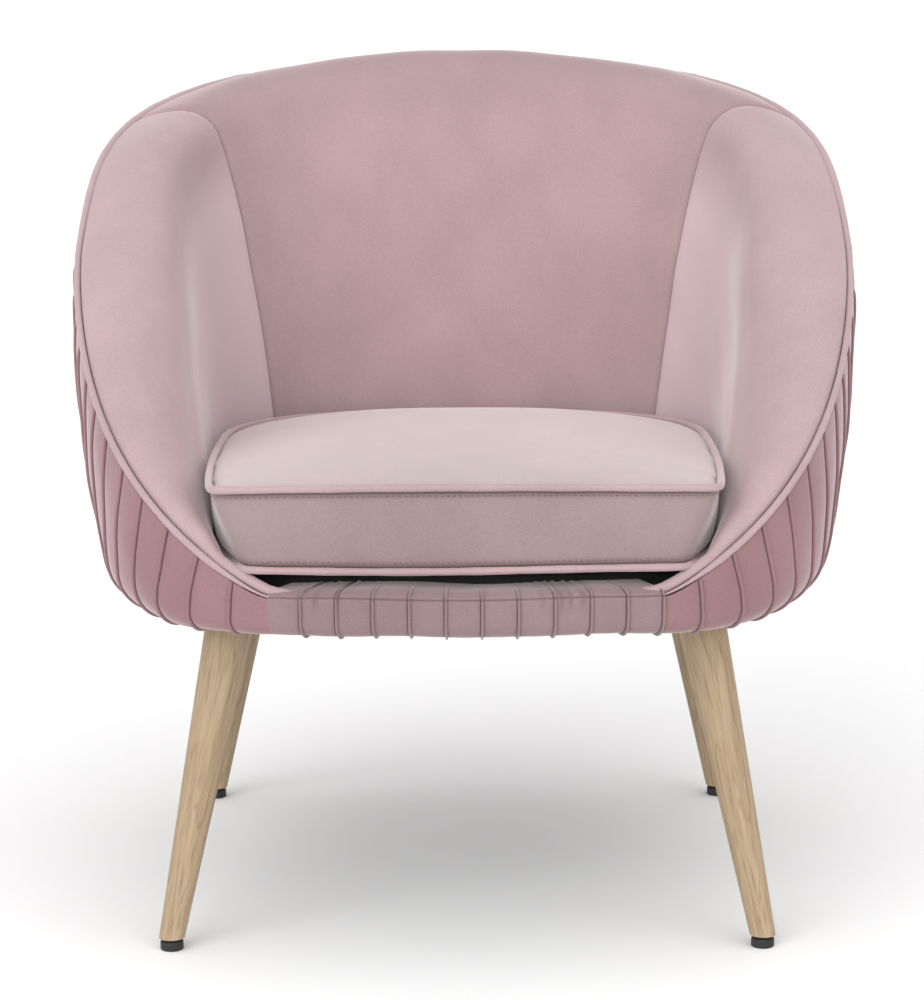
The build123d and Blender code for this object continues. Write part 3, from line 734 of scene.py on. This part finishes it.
def padded_panel(name, bearings, run, nodes, is_back=False):
    """A panel of the lining over the bearings and runs, pulled in along the edges that are sewn.

    The back is sewn along both its edges, and an arm along its first.
    """
    radius, height = lining(bearings, run)
    surface = on_bearing(bearings, radius, height)
    travelled = np.cumsum(gaps(surface, axis=1), axis=1)
    travelled = np.concatenate([np.zeros((len(surface), 1)), travelled], 1)
    to_seams = [travelled, travelled[:, -1:] - travelled] if is_back else [travelled]
    depth = bpy.context.scene.armchair_sewing.seam_depth
    push = ripple(surface, *SOFT_WAVES)
    for distance in to_seams:
        push += seam_pull(distance, depth)
    push = push * eased(run / RIM_EASE_RUN)
    crown = np.sin(pi * travelled / travelled[:, -1:]) * np.sin(pi * np.clip(run, 0, 1))
    end_fade = np.clip((TIP_START - np.abs(bearings)) / TIP_FADE, 0, 1)
    surface = pushed(surface, (push + LINING_CROWN * crown) * end_fade, outwards=False)
    sink = LINING_SINK * bell(run, LINING_SINK_RUN) * welt_share(bearings) ** 2
    sink = sink * (1 - 0.9 * shoulder_lift(bearings) / SHOULDER_LIFT)
    surface = surface - on_bearing(bearings, sink, 0)
    piece = cloth_from(name, surface, outwards=False, thickness=LINING_THICKNESS,
                       crease=lining_painted_shading(bearings, run, to_seams, is_back))
    dress(piece, "velvet_back" if is_back else "velvet_arm", "velvet", "chair", *nodes)


RUN_ROWS = np.concatenate([
    np.linspace(0, CREST_RUN, 9),
    np.linspace(CREST_RUN, WALL_RUN, 13)[1:],
    np.linspace(WALL_RUN, 1, 34)[1:],
])


class ARMCHAIR_OT_back_lining(bpy.types.Operator):
    """Pad the inside of the back between its two seams"""

    bl_idname = "armchair.back_lining"
    bl_label = "Back Lining"

    def execute(self, context):
        run = RUN_ROWS[:, None]
        share = spread_in(91)[None, :] * 2 - 1
        padded_panel("back_lining", seam_bearing(run) * share, run + 0 * share,
                     ("back_cover", "back_foam"), is_back=True)
        return {"FINISHED"}


class ARMCHAIR_OT_arm_linings(bpy.types.Operator):
    """Pad the inside and the rolled top of both arms"""

    bl_idname = "armchair.arm_linings"
    bl_label = "Arm Linings"

    def execute(self, context):
        run = RUN_ROWS[:, None]
        share = spread_in(111, 0.6)[None, :]
        seam = seam_bearing(run)
        bearings = seam + (LINING_END - seam) * share
        for side, sign in (("left", -1), ("right", 1)):
            padded_panel(f"arm_lining_{side}", sign * bearings, run + 0 * share,
                         (f"arm_cover_{side}", f"arm_foam_{side}"))
        return {"FINISHED"}


# ---- Pleated outer cover ----
HEM_ROWS = 13
HEM_FADE = [0.2, 0.5, 0.8]
WALL_ROWS = 43
GIRTH_ROW = 20
GIRTH_HEIGHT = 0.42
COVER_THICKNESS = 0.0022
COVER_BELOW_RIM = 0.0015
FRONT_SHADE = 0.16
WELT_SHADE = 0.7
PLEAT_WIDTH = 0.0027
PLEAT_VALLEY = 0.0012
PLEAT_STEPS = (0, 0.08, 0.2, 0.34, 0.5, 0.66, 0.8, 0.9, 1.0, 1.12, 1.4)
PLEAT_RISE = (-0.10, 0.55, 0.92, 1.05, 1.0, 0.85, 0.45, 0.0, -0.30, -0.12, 0.0)
PLEAT_SHADE = (0.12, 0.05, 0.0, 0.0, 0.0, 0.0, 0.2, 0.7, 0.9, 0.4, 0.0)


def pleat(distance, pitch, values, between):
    """Height or painted shade of a narrow pleat: a sharp ridge with a groove on each side."""
    within = np.mod(distance, pitch)
    places = [PLEAT_WIDTH * step for step in PLEAT_STEPS] + [pitch / 2, pitch - PLEAT_VALLEY, pitch]
    return np.interp(within, places, list(values) + [between, 0.0, values[0]])


def pleat_columns(total, pitch):
    """Distances along a pleated cover: many across each ridge, few between."""
    count = max(int(round(total / pitch)), 1)
    pitch = total / count
    steps = [PLEAT_WIDTH * step for step in PLEAT_STEPS]
    steps += [share * pitch for share in (0.28, 0.4, 0.5, 0.62, 0.75, 0.88)]
    steps += [pitch - PLEAT_VALLEY, pitch - 0.0005]
    columns = [start * pitch + step for start in range(count) for step in steps]
    return np.array(columns + [total]), pitch


def wrapped_shell(bearing_top, lean, top, wall_rows):
    """Rows of the outer cover from its hem, round the bottom edge and up to the rim."""
    rows = []
    foot = bearing_top - lean
    hem_end = shell_radius(foot, SHELL_BOTTOM)
    rounding = bottom_rounding(foot)
    for inwards in (HEM_WIDTH, HEM_WIDTH * 0.5, HEM_WIDTH * 0.15):
        rows.append(on_bearing(foot, hem_end - inwards, SHELL_BOTTOM))
    for turn in np.radians(np.linspace(0, 90, HEM_ROWS - 3)):
        z = SHELL_BOTTOM + rounding * (1 - cos(turn))
        rows.append(on_bearing(foot, shell_radius(foot, z), z))
    for row in wall_rows:
        z = SHELL_BOTTOM + rounding + (top - SHELL_BOTTOM - rounding) * row
        bearing = bearing_top - lean * (1 - row)
        rows.append(on_bearing(bearing, shell_radius(bearing, z), z))
    return np.array(rows)


def fade_at_ends(distance, total):
    """1 along the middle of a cover, easing to 0 over the last stretch at each end."""
    return eased(np.minimum(distance, total - distance) / 0.10)


def arc_table(start, end, z):
    """Bearings and the distance along the shell at each, at one height."""
    bearings = np.linspace(start, end, 400)
    line = on_bearing(bearings, shell_radius(bearings, z), z)
    return bearings, np.concatenate([[0], np.cumsum(gaps(line))])


def pleat_layout(start, end, z, pitch):
    """Distance and bearing of a cover's columns, its whole length and its pleats' even pitch."""
    bearings, along = arc_table(start, end, z)
    distance, pitch = pleat_columns(along[-1], pitch)
    return distance, np.interp(distance, along, bearings), along[-1], pitch


def pleat_relief(distance, pitch, between, fade):
    """How far each point of a cover stands out and its painted shade; fade has one value a row."""
    height = bpy.context.scene.armchair_sewing.pleat_height
    fade = np.array(fade)[:, None]
    push = height * pleat(distance, pitch, PLEAT_RISE, between)[None, :] * fade
    return push, pleat(distance, pitch, PLEAT_SHADE, 0)[None, :] * fade


def pleated_cover(name, start, end, lean, nodes):
    pitch = bpy.context.scene.armchair_sewing.pleat_pitch
    distance, bearing, total, pitch = pleat_layout(start, end, GIRTH_HEIGHT, pitch)
    top = rim_height(bearing) - COVER_BELOW_RIM
    wall_rows = np.linspace(0, 1, WALL_ROWS + 1)[1:]
    surface = wrapped_shell(bearing, lean * fade_at_ends(distance, total), top, wall_rows)
    into_seam = 1 - 0.75 * bell(1 - wall_rows, 0.018)
    fade = np.concatenate([HEM_FADE, np.ones(HEM_ROWS - 3), into_seam])
    push, crease = pleat_relief(distance, pitch, 0.16, fade)
    surface = pushed(surface, push + ripple(surface, *SOFT_WAVES), outwards=True)
    # Painted shade: the cover is painted darker towards the front and just under the rim's welt.
    towards_front = eased((np.abs(bearing) - radians(118)) / radians(26))
    crease = np.maximum(crease, FRONT_SHADE * towards_front[None, :])
    under_welt = WELT_SHADE * bell(np.array([1] * HEM_ROWS + list(1 - wall_rows)), 0.012)
    piece = cloth_from(name, surface, thickness=COVER_THICKNESS,
                       crease=np.maximum(crease, under_welt[:, None]))
    dress(piece, "velvet_shell", "velvet", "chair", *nodes)
    width = gaps(surface[GIRTH_ROW]).sum()
    heights = gaps(surface).sum(0)


class ARMCHAIR_OT_outer_covers(bpy.types.Operator):
    """Wrap the pleated cover round the back and both sides"""

    bl_idname = "armchair.outer_covers"
    bl_label = "Pleated Outer Covers"

    def execute(self, context):
        lean = np.radians(2.0)
        pleated_cover("outer_cover_right", OUTER_SEAM, BAND_END, lean, ("outer_side_cover_right",))
        pleated_cover("outer_cover_left", -OUTER_SEAM, -BAND_END, -lean, ("outer_side_cover_left",))
        pleated_cover("outer_cover_back", -OUTER_SEAM, OUTER_SEAM, 0.0, ("outer_back_cover",))
        return {"FINISHED"}


BAND_GIRTH_HEIGHT = 0.33
BAND_INSET = 0.004
BAND_WALL_ROWS = (0.12, 0.3, 0.5, 0.7, 0.84, 0.92, 0.97, 1.0)
BAND_ROLL = 0.020
BAND_TURNS = (7, 15, 24, 34, 46, 60, 75, 90)
FOLD_HEIGHT = 0.0010
FOLD_LENGTHS = (0.0093, 0.0061)


class ARMCHAIR_OT_front_band(bpy.types.Operator):
    """Sew the tucked band below the seat, rolled back to the deck"""

    bl_idname = "armchair.front_band"
    bl_label = "Front Band"

    def execute(self, context):
        start = BAND_END - BAND_INSET
        distance, bearing, total, pitch = pleat_layout(
            start, 2 * pi - start, BAND_GIRTH_HEIGHT, context.scene.armchair_sewing.band_pitch)
        waver = 0.0015 * np.sin(distance * 21 + 1)
        seam = RIM_END_HEIGHT + waver * fade_at_ends(distance, total)
        rows = list(wrapped_shell(bearing, 0.0, seam, BAND_WALL_ROWS))
        fade = HEM_FADE + [1.0] * (len(rows) - 4) + [0.85]
        outer = shell_radius(bearing, seam)
        for turn in np.radians(BAND_TURNS):
            inwards = BAND_ROLL * (1 - cos(turn))
            rows.append(on_bearing(bearing, outer - inwards, seam + BAND_ROLL_RISE * sin(turn)))
            fade.append(0.8 * cos(turn) ** 0.5 + 0.1)
        for inwards in (0.028, 0.036, 0.046):
            rows.append(on_bearing(bearing, outer - inwards, seam + BAND_ROLL_RISE))
            fade.append(0.05)
        surface = np.array(rows)
        push, crease = pleat_relief(distance, pitch, 0.12, fade)
        gathers = bell(distance - 0.085, 0.035) + bell(distance - total + 0.05, 0.028)
        above = surface[..., 2] - seam
        long, short = (np.sin(2 * pi * distance / wave) for wave in FOLD_LENGTHS)
        folds = gathers * (long + 0.5 * short)
        push = push + FOLD_HEIGHT * folds * bell(above - 0.002, 0.010)
        push = push - FOLD_HEIGHT * bell(above, 0.0009)
        surface = pushed(surface, push + ripple(surface, *SOFT_WAVES), outwards=True)
        # Painted shade: a dark line along the band's top seam and in the hollows of its gathers.
        crease = np.maximum(crease, 0.55 * bell(above, 0.0008))
        crease = np.maximum(crease, 0.35 * gathers * (folds < -0.55) * bell(above, 0.009))
        piece = cloth_from("front_band_cover", surface, thickness=COVER_THICKNESS, crease=crease)
        dress(piece, "velvet_band", "velvet", "chair", "front_band", "front_edge_foam")
        width = float(gaps(surface[HEM_ROWS - 1]).sum())
        height = float(gaps(surface).sum(0).mean())
        return {"FINISHED"}


class ARMCHAIR_OT_rim_welt(bpy.types.Operator):
    """Sew the welt along the rim, from one end of the front band to the other"""

    bl_idname = "armchair.rim_welt"
    bl_label = "Rim Welt"

    def execute(self, context):
        bearing = np.linspace(-BAND_END, BAND_END, 420)
        thickness = context.scene.armchair_sewing.rim_welt * welt_share(bearing)
        z = rim_height(bearing)
        ends = 0.3 + 0.7 * eased((BAND_END - np.abs(bearing)) / radians(9))
        line = on_bearing(bearing, shell_radius(bearing, z) - thickness * (0.35 + 0.4 * (1 - ends)),
                          z + 0.001 * ends)
        wobble = 1 + 0.03 * np.sin(bearing * 190) + 0.02 * np.sin(bearing * 67 + 1)
        piece = tube("rim_welt", line, thickness * ends * wobble)
        dress(piece, "velvet_arm", "velvet", "chair", "rim_piping")
        return {"FINISHED"}


# ---- Seat cushion ----
CUSHION_HALF_WIDTH = 0.2390
CUSHION_BACK = 0.2200
CUSHION_FRONT = 0.3275
CUSHION_TAPER = 0.005
CUSHION_BACK_GAIN = 0.006
CUSHION_SIDE_REACH = 0.467
CUSHION_SIDE_GAIN = 0.265
CUSHION_POWER = 2.5
CORNER_POWER = 60
CUSHION_RINGS_BELOW = (0.0, 0.15, 0.3, 0.45, 0.6, 0.75, 0.88, 0.95)
CUSHION_RINGS_ABOVE = (0.975, 0.94, 0.88, 0.8, 0.68, 0.54, 0.4, 0.27, 0.14, 0.0)
BOXING_BULGE = 0.0035
ABOVE_DECK = 0.0015
CLOTH_STIFFNESS = 18
CLOTH_BENDING = 1.2
FILLING_FRAMES = 20


def cushion_radius(bearing, up):
    """The cushion's plan at a share of its height: sides that follow the arms, a straight front."""
    sides = rounded_outline(
        bearing, CUSHION_HALF_WIDTH - CUSHION_TAPER * up, CUSHION_BACK + CUSHION_BACK_GAIN * up,
        CUSHION_SIDE_REACH + CUSHION_SIDE_GAIN * up**2, CUSHION_POWER, CUSHION_POWER)
    front = CUSHION_FRONT / np.maximum(-np.cos(bearing), 0.2)
    return (sides**-CORNER_POWER + front**-CORNER_POWER) ** (-1 / CORNER_POWER)


def cushion_edge(bearing, up):
    """Height of the cushion's edge: up is 0 on the bottom welt and 1 on the top one."""
    cushion = bpy.context.scene.armchair_cushion
    back_share = np.clip((np.cos(bearing) + 1) / 2, 0, 1)
    top = cushion.front_top - cushion.rear_drop * back_share
    sag = 0.0015 * np.cos(3 * bearing) + 0.001 * np.sin(5 * bearing + 0.6)
    bottom = cushion.front_bottom - 0.004 * back_share + sag
    return bottom + (top - bottom) * up


def cushion_line(up, proud, count=360):
    bearing = np.linspace(0, 2 * pi, count, endpoint=False)
    return on_bearing(bearing, cushion_radius(bearing, up) + proud, cushion_edge(bearing, up))


def cushion_form():
    """Closed form of the cushion: bottom panel, boxing and crowned top, from pole to pole."""
    bearing = np.linspace(0, 2 * pi, 181)
    cushion = bpy.context.scene.armchair_cushion
    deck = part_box("deck_cloth")[1].z + ABOVE_DECK
    rows = []
    for share in CUSHION_RINGS_BELOW:
        edge = cushion_edge(bearing, 0)
        z = deck + (edge - deck) * np.clip((share - 0.80) / 0.2, 0, 1) ** 1.5
        rows.append(on_bearing(bearing, cushion_radius(bearing, 0.0) * share, z))
    for up in np.linspace(0, 1, 9):
        radius = cushion_radius(bearing, up) + BOXING_BULGE * sin(pi * up)
        rows.append(on_bearing(bearing, radius, cushion_edge(bearing, up)))
    for share in CUSHION_RINGS_ABOVE:
        z = cushion_edge(bearing, 1) * share**2 + cushion_edge(pi + 0 * bearing, 1) * (1 - share**2)
        rise = cushion.crown * (1 - share**3.2)
        rows.append(on_bearing(bearing, cushion_radius(bearing, 1) * share, z + rise))
    piece = cloth_from("seat_cushion", np.array(rows), closed=True)
    edit(piece, (bpy.ops.mesh.normals_make_consistent, {"inside": False}))
    return piece


def to_seams_of(points):
    """Each point's bearing and its distance from the nearer of the cushion's two welt seams."""
    x, y, z = points.T
    bearing = np.arctan2(x, y)
    radius = np.hypot(x, y)
    both = [np.hypot(radius - cushion_radius(bearing, up), z - cushion_edge(bearing, up))
            for up in (0.0, 1.0)]
    return bearing, np.minimum(*both)


def fill_cushion(piece, pressure, cap):
    """Fills the cushion by cloth simulation, holding its seams, and caps how far it swells."""
    scene = bpy.context.scene
    apply_modifier(piece, "REMESH", mode="VOXEL", voxel_size=0.0055)
    before = points_of(piece)
    group = piece.vertex_groups.new(name="seams")
    held = np.clip(1.6 - to_seams_of(before)[1] / 0.006, 0, 1)
    for index, weight in enumerate(held):
        if weight > 0.02:
            group.add([index], float(weight), "REPLACE")
    only(piece)
    cloth = piece.modifiers.new("filling", "CLOTH")
    cloth.settings.use_pressure = True
    cloth.settings.uniform_pressure_force = pressure
    cloth.settings.vertex_group_mass = "seams"
    cloth.settings.tension_stiffness = CLOTH_STIFFNESS
    cloth.settings.compression_stiffness = CLOTH_STIFFNESS
    cloth.settings.bending_stiffness = CLOTH_BENDING
    cloth.settings.effector_weights.gravity = 0
    for number in range(1, FILLING_FRAMES + 1):
        scene.frame_set(number)
    bpy.ops.object.modifier_apply(modifier=cloth.name)
    scene.frame_set(1)
    moved = points_of(piece) - before
    far = np.linalg.norm(moved, axis=1, keepdims=True)
    after = before + moved * np.minimum(1, cap / np.maximum(far, 1e-9))
    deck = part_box("deck_cloth")[1].z + 0.0012
    after[:, 2] = np.maximum(after[:, 2], deck)
    move_points(piece, after)
    apply_modifier(piece, "SMOOTH", factor=0.5, iterations=3)
    apply_modifier(piece, "SUBSURF", levels=1, render_levels=1)


def shade_cushion(piece):
    """Paints shade on the seams beside the welts, and gives the top panel and the boxing their own
    tones of velvet, partly from the pile's direction and partly painted light and shade.
    """
    points = points_of(piece)
    bearing, distance = to_seams_of(points)
    if "crease" in piece.data.attributes:
        piece.data.attributes.remove(piece.data.attributes["crease"])
    mark_painted_shading(piece, 0.8 * bell(distance, 0.0055))
    for name in ("velvet_boxing", "velvet_seat"):
        piece.data.materials.append(bpy.data.materials[name])
    on_top = points[:, 2] > cushion_edge(bearing, 1.0) - 0.001
    for face in piece.data.polygons:
        face.material_index = int(all(on_top[index] for index in face.vertices))


class ARMCHAIR_OT_seat_cushion(bpy.types.Operator):
    """Cut, fill and finish the loose boxed cushion"""

    bl_idname = "armchair.seat_cushion"
    bl_label = "Seat Cushion"

    def execute(self, context):
        cushion = context.scene.armchair_cushion
        piece = cushion_form()
        fill_cushion(piece, cushion.pressure, cap=0.009)
        smooth(piece, 60)
        shade_cushion(piece)
        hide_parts("cushion_core", "cushion_boxing", "cushion_top_panel",
                    "cushion_bottom_panel")
        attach(piece, "seat_cushion")
        return {"FINISHED"}


class ARMCHAIR_OT_cushion_welts(bpy.types.Operator):
    """Sew a welt round the cushion's top and bottom edges"""

    bl_idname = "armchair.cushion_welts"
    bl_label = "Cushion Welts"

    def execute(self, context):
        thickness = context.scene.armchair_cushion.welt
        for name, up, node in (("cushion_welt_top", 1.0, "cushion_top_piping"),
                               ("cushion_welt_bottom", 0.0, "cushion_bottom_piping")):
            line = cushion_line(up, thickness * 0.35)
            turn = np.linspace(0, 2 * pi, len(line), endpoint=False)
            wobble = 1 + 0.04 * np.sin(turn * 31) + 0.02 * np.sin(turn * 83 + 1)
            piece = tube(name, line, thickness * wobble, closed=True)
            dress(piece, "velvet_arm", "velvet", "seat_cushion", node)
        return {"FINISHED"}


class ARMCHAIR_OT_stitching(bpy.types.Operator):
    """Run a row of stitches beside each of the cushion's welts"""

    bl_idname = "armchair.stitching"
    bl_label = "Cushion Stitching"

    def execute(self, context):
        reach = context.scene.armchair_sewing.stitch
        bpy.ops.object.select_all(action="DESELECT")
        bpy.ops.mesh.primitive_uv_sphere_add(segments=6, ring_count=4, radius=0.5)
        model = bpy.context.object
        one = points_of(model) * np.array([reach * 0.82, 0.0011, 0.0010])
        faces = [tuple(p.vertices) for p in model.data.polygons]
        bpy.data.objects.remove(model)
        for name, up in (("top_stitching", 0.905), ("bottom_stitching", 0.10)):
            line = cushion_line(up, 0.0010 + BOXING_BULGE * sin(pi * up), 1400)
            line = np.vstack([line, line[:1]])
            along = np.concatenate([[0], np.cumsum(gaps(line))])
            spots = np.arange(0, along[-1], reach * 1.25)
            centres, ahead = (
                np.stack([np.interp(places, along, values) for values in line.T], 1)
                for places in (spots, spots + 0.002))
            forward = ahead - centres
            forward /= np.maximum(np.linalg.norm(forward, axis=1, keepdims=True), 1e-9)
            side = np.cross(forward, [0, 0, 1.0])
            axes = np.stack([forward, side, np.broadcast_to([0, 0, 1.0], side.shape)], 1)
            points = centres[:, None] + np.einsum("pk,nkc->npc", one, axes)
            mesh = bpy.data.meshes.new(name)
            starts = range(0, len(spots) * len(one), len(one))
            many = [tuple(start + i for i in face) for start in starts for face in faces]
            mesh.from_pydata(points.reshape(-1, 3).tolist(), [], many)
            piece = bpy.data.objects.new(name, mesh)
            bpy.context.scene.collection.objects.link(piece)
            smooth(piece)
            dress(piece, "thread", "velvet", "seat_cushion")
        return {"FINISHED"}


# ---- Deck, underside and frame ----
PLY_TONES = ((0.62, 0.45, 0.27), (0.44, 0.29, 0.16))
BOARD_TONES = ((0.42, 0.28, 0.16), (0.30, 0.19, 0.10))
DISC_BEARINGS = np.linspace(0, 2 * pi, 121)
DECK_RINGS = (0, 0.1, 0.22, 0.34, 0.46, 0.58, 0.7, 0.8, 0.88, 0.93, 0.96, 0.975, 0.99, 1.0)
DUST_RINGS = (0, 0.12, 0.26, 0.4, 0.54, 0.68, 0.8, 0.9, 0.96, 1)
DUST_THICKNESS = 0.0006


def disc_surface(radius, height_at, rings):
    """A flat round grid from its centre out: rows are rings, columns go round."""
    rows = []
    for share in rings:
        points = on_bearing(DISC_BEARINGS, radius * share, 0)
        points[:, 2] = height_at(points, share)
        rows.append(points)
    return np.array(rows)


class ARMCHAIR_OT_deck(bpy.types.Operator):
    """Stretch the black deck cloth over its thin pad"""

    bl_idname = "armchair.deck"
    bl_label = "Deck"

    def execute(self, context):
        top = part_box("deck_cloth")[1].z
        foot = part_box("deck_pad")[0].z
        radius = np.minimum(tub_radius(DISC_BEARINGS, TUB_FLOOR) + 0.004,
                            shell_radius(DISC_BEARINGS, RIM_END_HEIGHT) - 0.044)

        def height_at(points, share):
            creases = ripple(points, (0.0004, 9, 4, 0, 0.3), (0.0003, -5, 14, 0, 1.2))
            edge = np.clip((share - 0.96) / 0.04, 0, 1)
            return top - 0.0012 + creases - edge * (top - foot - 0.001)

        piece = cloth_from("deck_padding", disc_surface(radius, height_at, DECK_RINGS), closed=True)
        close_open_edges(piece)
        smooth(piece, 50)
        dress(piece, "black_cloth", "black_cloth", "chair", "deck_pad", "deck_cloth")
        return {"FINISHED"}


class ARMCHAIR_OT_dust_cloth(bpy.types.Operator):
    """Tack the dust cloth under the base, slack between its staples"""

    bl_idname = "armchair.dust_cloth"
    bl_label = "Dust Cloth"

    def execute(self, context):
        low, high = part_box("dust_cover")

        def height_at(points, share):
            sag = 0.0006 * (1 - share**2)
            creases = ripple(points, (0.0002, 7, 5, 0, 0.3), (0.00015, -9, 12, 0, 1.2))
            return high.z - 0.0002 - sag - np.abs(creases) * (1 - share)

        radius = shell_radius(DISC_BEARINGS, SHELL_BOTTOM) - 0.009
        surface = disc_surface(radius, height_at, DUST_RINGS)
        piece = cloth_from("dust_cloth", surface, closed=True, thickness=DUST_THICKNESS)
        dress(piece, "black_cloth", "black_cloth", "chair", "dust_cover")
        return {"FINISHED"}


class ARMCHAIR_OT_finish_frame(bpy.types.Operator):
    """Give the wooden frame, the webbing and the fixings their finishes"""

    bl_idname = "armchair.finish_frame"
    bl_label = "Frame Finishes"

    def execute(self, context):
        colours = context.scene.armchair_colours
        finishes = {
            "steel": steel_finish("zinc_plate", (0.62, 0.62, 0.64)),
            "webbing": weave_finish("webbing", (0.05, 0.05, 0.055), 0.004, 0.6),
            "black_plastic": plastic_finish("glide_plastic", tuple(colours.black)),
            "fibreboard": plywood_finish("fibreboard", *BOARD_TONES, flat=False),
            "plywood": plywood_finish("upright_ply", *PLY_TONES, flat=False),
        }
        ring = plywood_finish("flat_ply", *PLY_TONES, flat=True)
        for part in frame["record"]["subparts"]:
            node = frame["nodes"][part["node"]]
            finish = ring if part["node"] == "base_ring" else finishes.get(part["material_slot"])
            if finish and not node.hide_render:
                refinish(node, finish)
        return {"FINISHED"}


class ARMCHAIR_OT_finish_legs(bpy.types.Operator):
    """Give each leg oak whose grain runs along it"""

    bl_idname = "armchair.finish_legs"
    bl_label = "Leg Finishes"

    def execute(self, context):
        colours = context.scene.armchair_colours
        for name in ("front_left", "front_right", "rear_left", "rear_right"):
            leg = frame["nodes"][f"{name}_leg"]
            points = points_of(leg)
            low, high = points[:, 2].min(), points[:, 2].max()
            foot = Vector(points[points[:, 2] < low + 0.002].mean(0))
            top = Vector(points[points[:, 2] > high - 0.002].mean(0))
            finish = oak_finish(f"oak_{name}", tuple(colours.oak_light), tuple(colours.oak_dark),
                                foot, (top - foot).normalized())
            refinish(leg, finish)
        return {"FINISHED"}


class ARMCHAIR_OT_finishes(bpy.types.Operator):
    """Mix the velvet, thread and cloth finishes"""

    bl_idname = "armchair.finishes"
    bl_label = "Fabric Finishes"

    def execute(self, context):
        colours = context.scene.armchair_colours
        # Each panel gets its own copy of the velvet, tinted partly by the pile's direction and
        # partly with painted light and shade.
        for name, lie in (("velvet_back", colours.nap_and_painted_light_back), ("velvet_arm", colours.nap_and_painted_light_arm),
                          ("velvet_shell", colours.nap_and_painted_light_shell), ("velvet_band", colours.nap_and_painted_light_band),
                          ("velvet_seat", colours.nap_and_painted_light_seat), ("velvet_boxing", colours.nap_and_painted_light_boxing),
                          ("thread", colours.thread)):
            velvet_finish(name, [a * b for a, b in zip(colours.velvet, lie)], 0.5)
        weave_finish("black_cloth", tuple(colours.black), 0.0016, 0.3)
        return {"FINISHED"}


# ---- Studio ----
FLOOR_SIZE = 260
WORLD_STRENGTH = 0.66
SUNS = (
    ("key", (0.62, 1.0, -0.50), 50, 1.35),
    ("fill", (-0.65, 1.0, -0.40), 60, 0.72),
    ("top", (0.0, 0.25, -1.0), 70, 0.95),
)
CAMERA_SPOT = (0, -2.921, 0.8904)
CAMERA_LENS = 109.4
CAMERA_SHIFT = -0.003
CAMERA_DIP = radians(10.25)
CAMERA_ROLL = radians(-0.3)


class ARMCHAIR_OT_studio(bpy.types.Operator):
    """Set the floor, the soft lights and the camera"""

    bl_idname = "armchair.studio"
    bl_label = "Studio"

    def execute(self, context):
        colours = context.scene.armchair_colours
        self.floor(tuple(colours.floor))
        self.lights()
        self.camera()
        return {"FINISHED"}

    def floor(self, colour):
        bpy.ops.object.select_all(action="DESELECT")
        bpy.ops.mesh.primitive_plane_add(size=FLOOR_SIZE, location=(0, 0, 0))
        floor = bpy.context.object
        floor.name = "studio_floor"
        finish = Finish("studio_floor", Specular_IOR_Level=0.1, Roughness=0.9,
                        Base_Color=(*colour, 1))
        floor.data.materials.append(finish.material)

    def lights(self):
        world = bpy.data.worlds.new("studio_light")
        bpy.context.scene.world = world
        world.use_nodes = True
        background = world.node_tree.nodes["Background"]
        background.inputs["Color"].default_value = (1, 1, 1, 1)
        background.inputs["Strength"].default_value = WORLD_STRENGTH
        for name, direction, softness, strength in SUNS:
            lamp = bpy.data.lights.new(name, "SUN")
            lamp.angle = radians(softness)
            lamp.energy = strength
            holder = bpy.data.objects.new(name, lamp)
            holder.location = (0, 0, 3)
            holder.rotation_euler = Vector(direction).to_track_quat("-Z", "Y").to_euler()
            bpy.context.scene.collection.objects.link(holder)

    def camera(self):
        data = bpy.data.cameras.new("camera")
        data.lens = CAMERA_LENS
        data.sensor_width = 36
        data.shift_x = CAMERA_SHIFT
        camera = bpy.data.objects.new("camera", data)
        camera.location = CAMERA_SPOT
        camera.rotation_euler = (Matrix.Rotation(pi / 2 - CAMERA_DIP, 3, "X")
                                 @ Matrix.Rotation(CAMERA_ROLL, 3, "Z")).to_euler()
        bpy.context.scene.collection.objects.link(camera)
        bpy.context.scene.camera = camera
        bpy.context.scene.view_settings.view_transform = "Standard"


class ARMCHAIR_PT_panel(bpy.types.Panel):
    """Lists the chair's pieces in the sidebar"""

    bl_label = "Tub Armchair"
    bl_space_type = "VIEW_3D"
    bl_region_type = "UI"
    bl_category = "Armchair"

    def draw(self, context):
        for operator in OPERATORS:
            self.layout.operator(operator.bl_idname)


OPERATORS = (
    ARMCHAIR_OT_finishes,
    ARMCHAIR_OT_back_lining,
    ARMCHAIR_OT_arm_linings,
    ARMCHAIR_OT_outer_covers,
    ARMCHAIR_OT_front_band,
    ARMCHAIR_OT_rim_welt,
    ARMCHAIR_OT_deck,
    ARMCHAIR_OT_dust_cloth,
    ARMCHAIR_OT_seat_cushion,
    ARMCHAIR_OT_cushion_welts,
    ARMCHAIR_OT_stitching,
    ARMCHAIR_OT_finish_frame,
    ARMCHAIR_OT_finish_legs,
    ARMCHAIR_OT_studio,
)
GROUPS = {
    "armchair_sewing": ArmchairSewing,
    "armchair_cushion": ArmchairCushion,
    "armchair_colours": ArmchairColours,
}


def register():
    for group in GROUPS.values():
        bpy.utils.register_class(group)
    for name, group in GROUPS.items():
        setattr(bpy.types.Scene, name, bpy.props.PointerProperty(type=group))
    for operator in OPERATORS:
        bpy.utils.register_class(operator)
    bpy.utils.register_class(ARMCHAIR_PT_panel)


def unregister():
    bpy.utils.unregister_class(ARMCHAIR_PT_panel)
    for operator in reversed(OPERATORS):
        bpy.utils.unregister_class(operator)
    for name, group in GROUPS.items():
        delattr(bpy.types.Scene, name)
        bpy.utils.unregister_class(group)


def main():
    register()
    for operator in OPERATORS:
        family, name = operator.bl_idname.split(".")
        getattr(getattr(bpy.ops, family), name)()


if __name__ == "__main__":
    main()
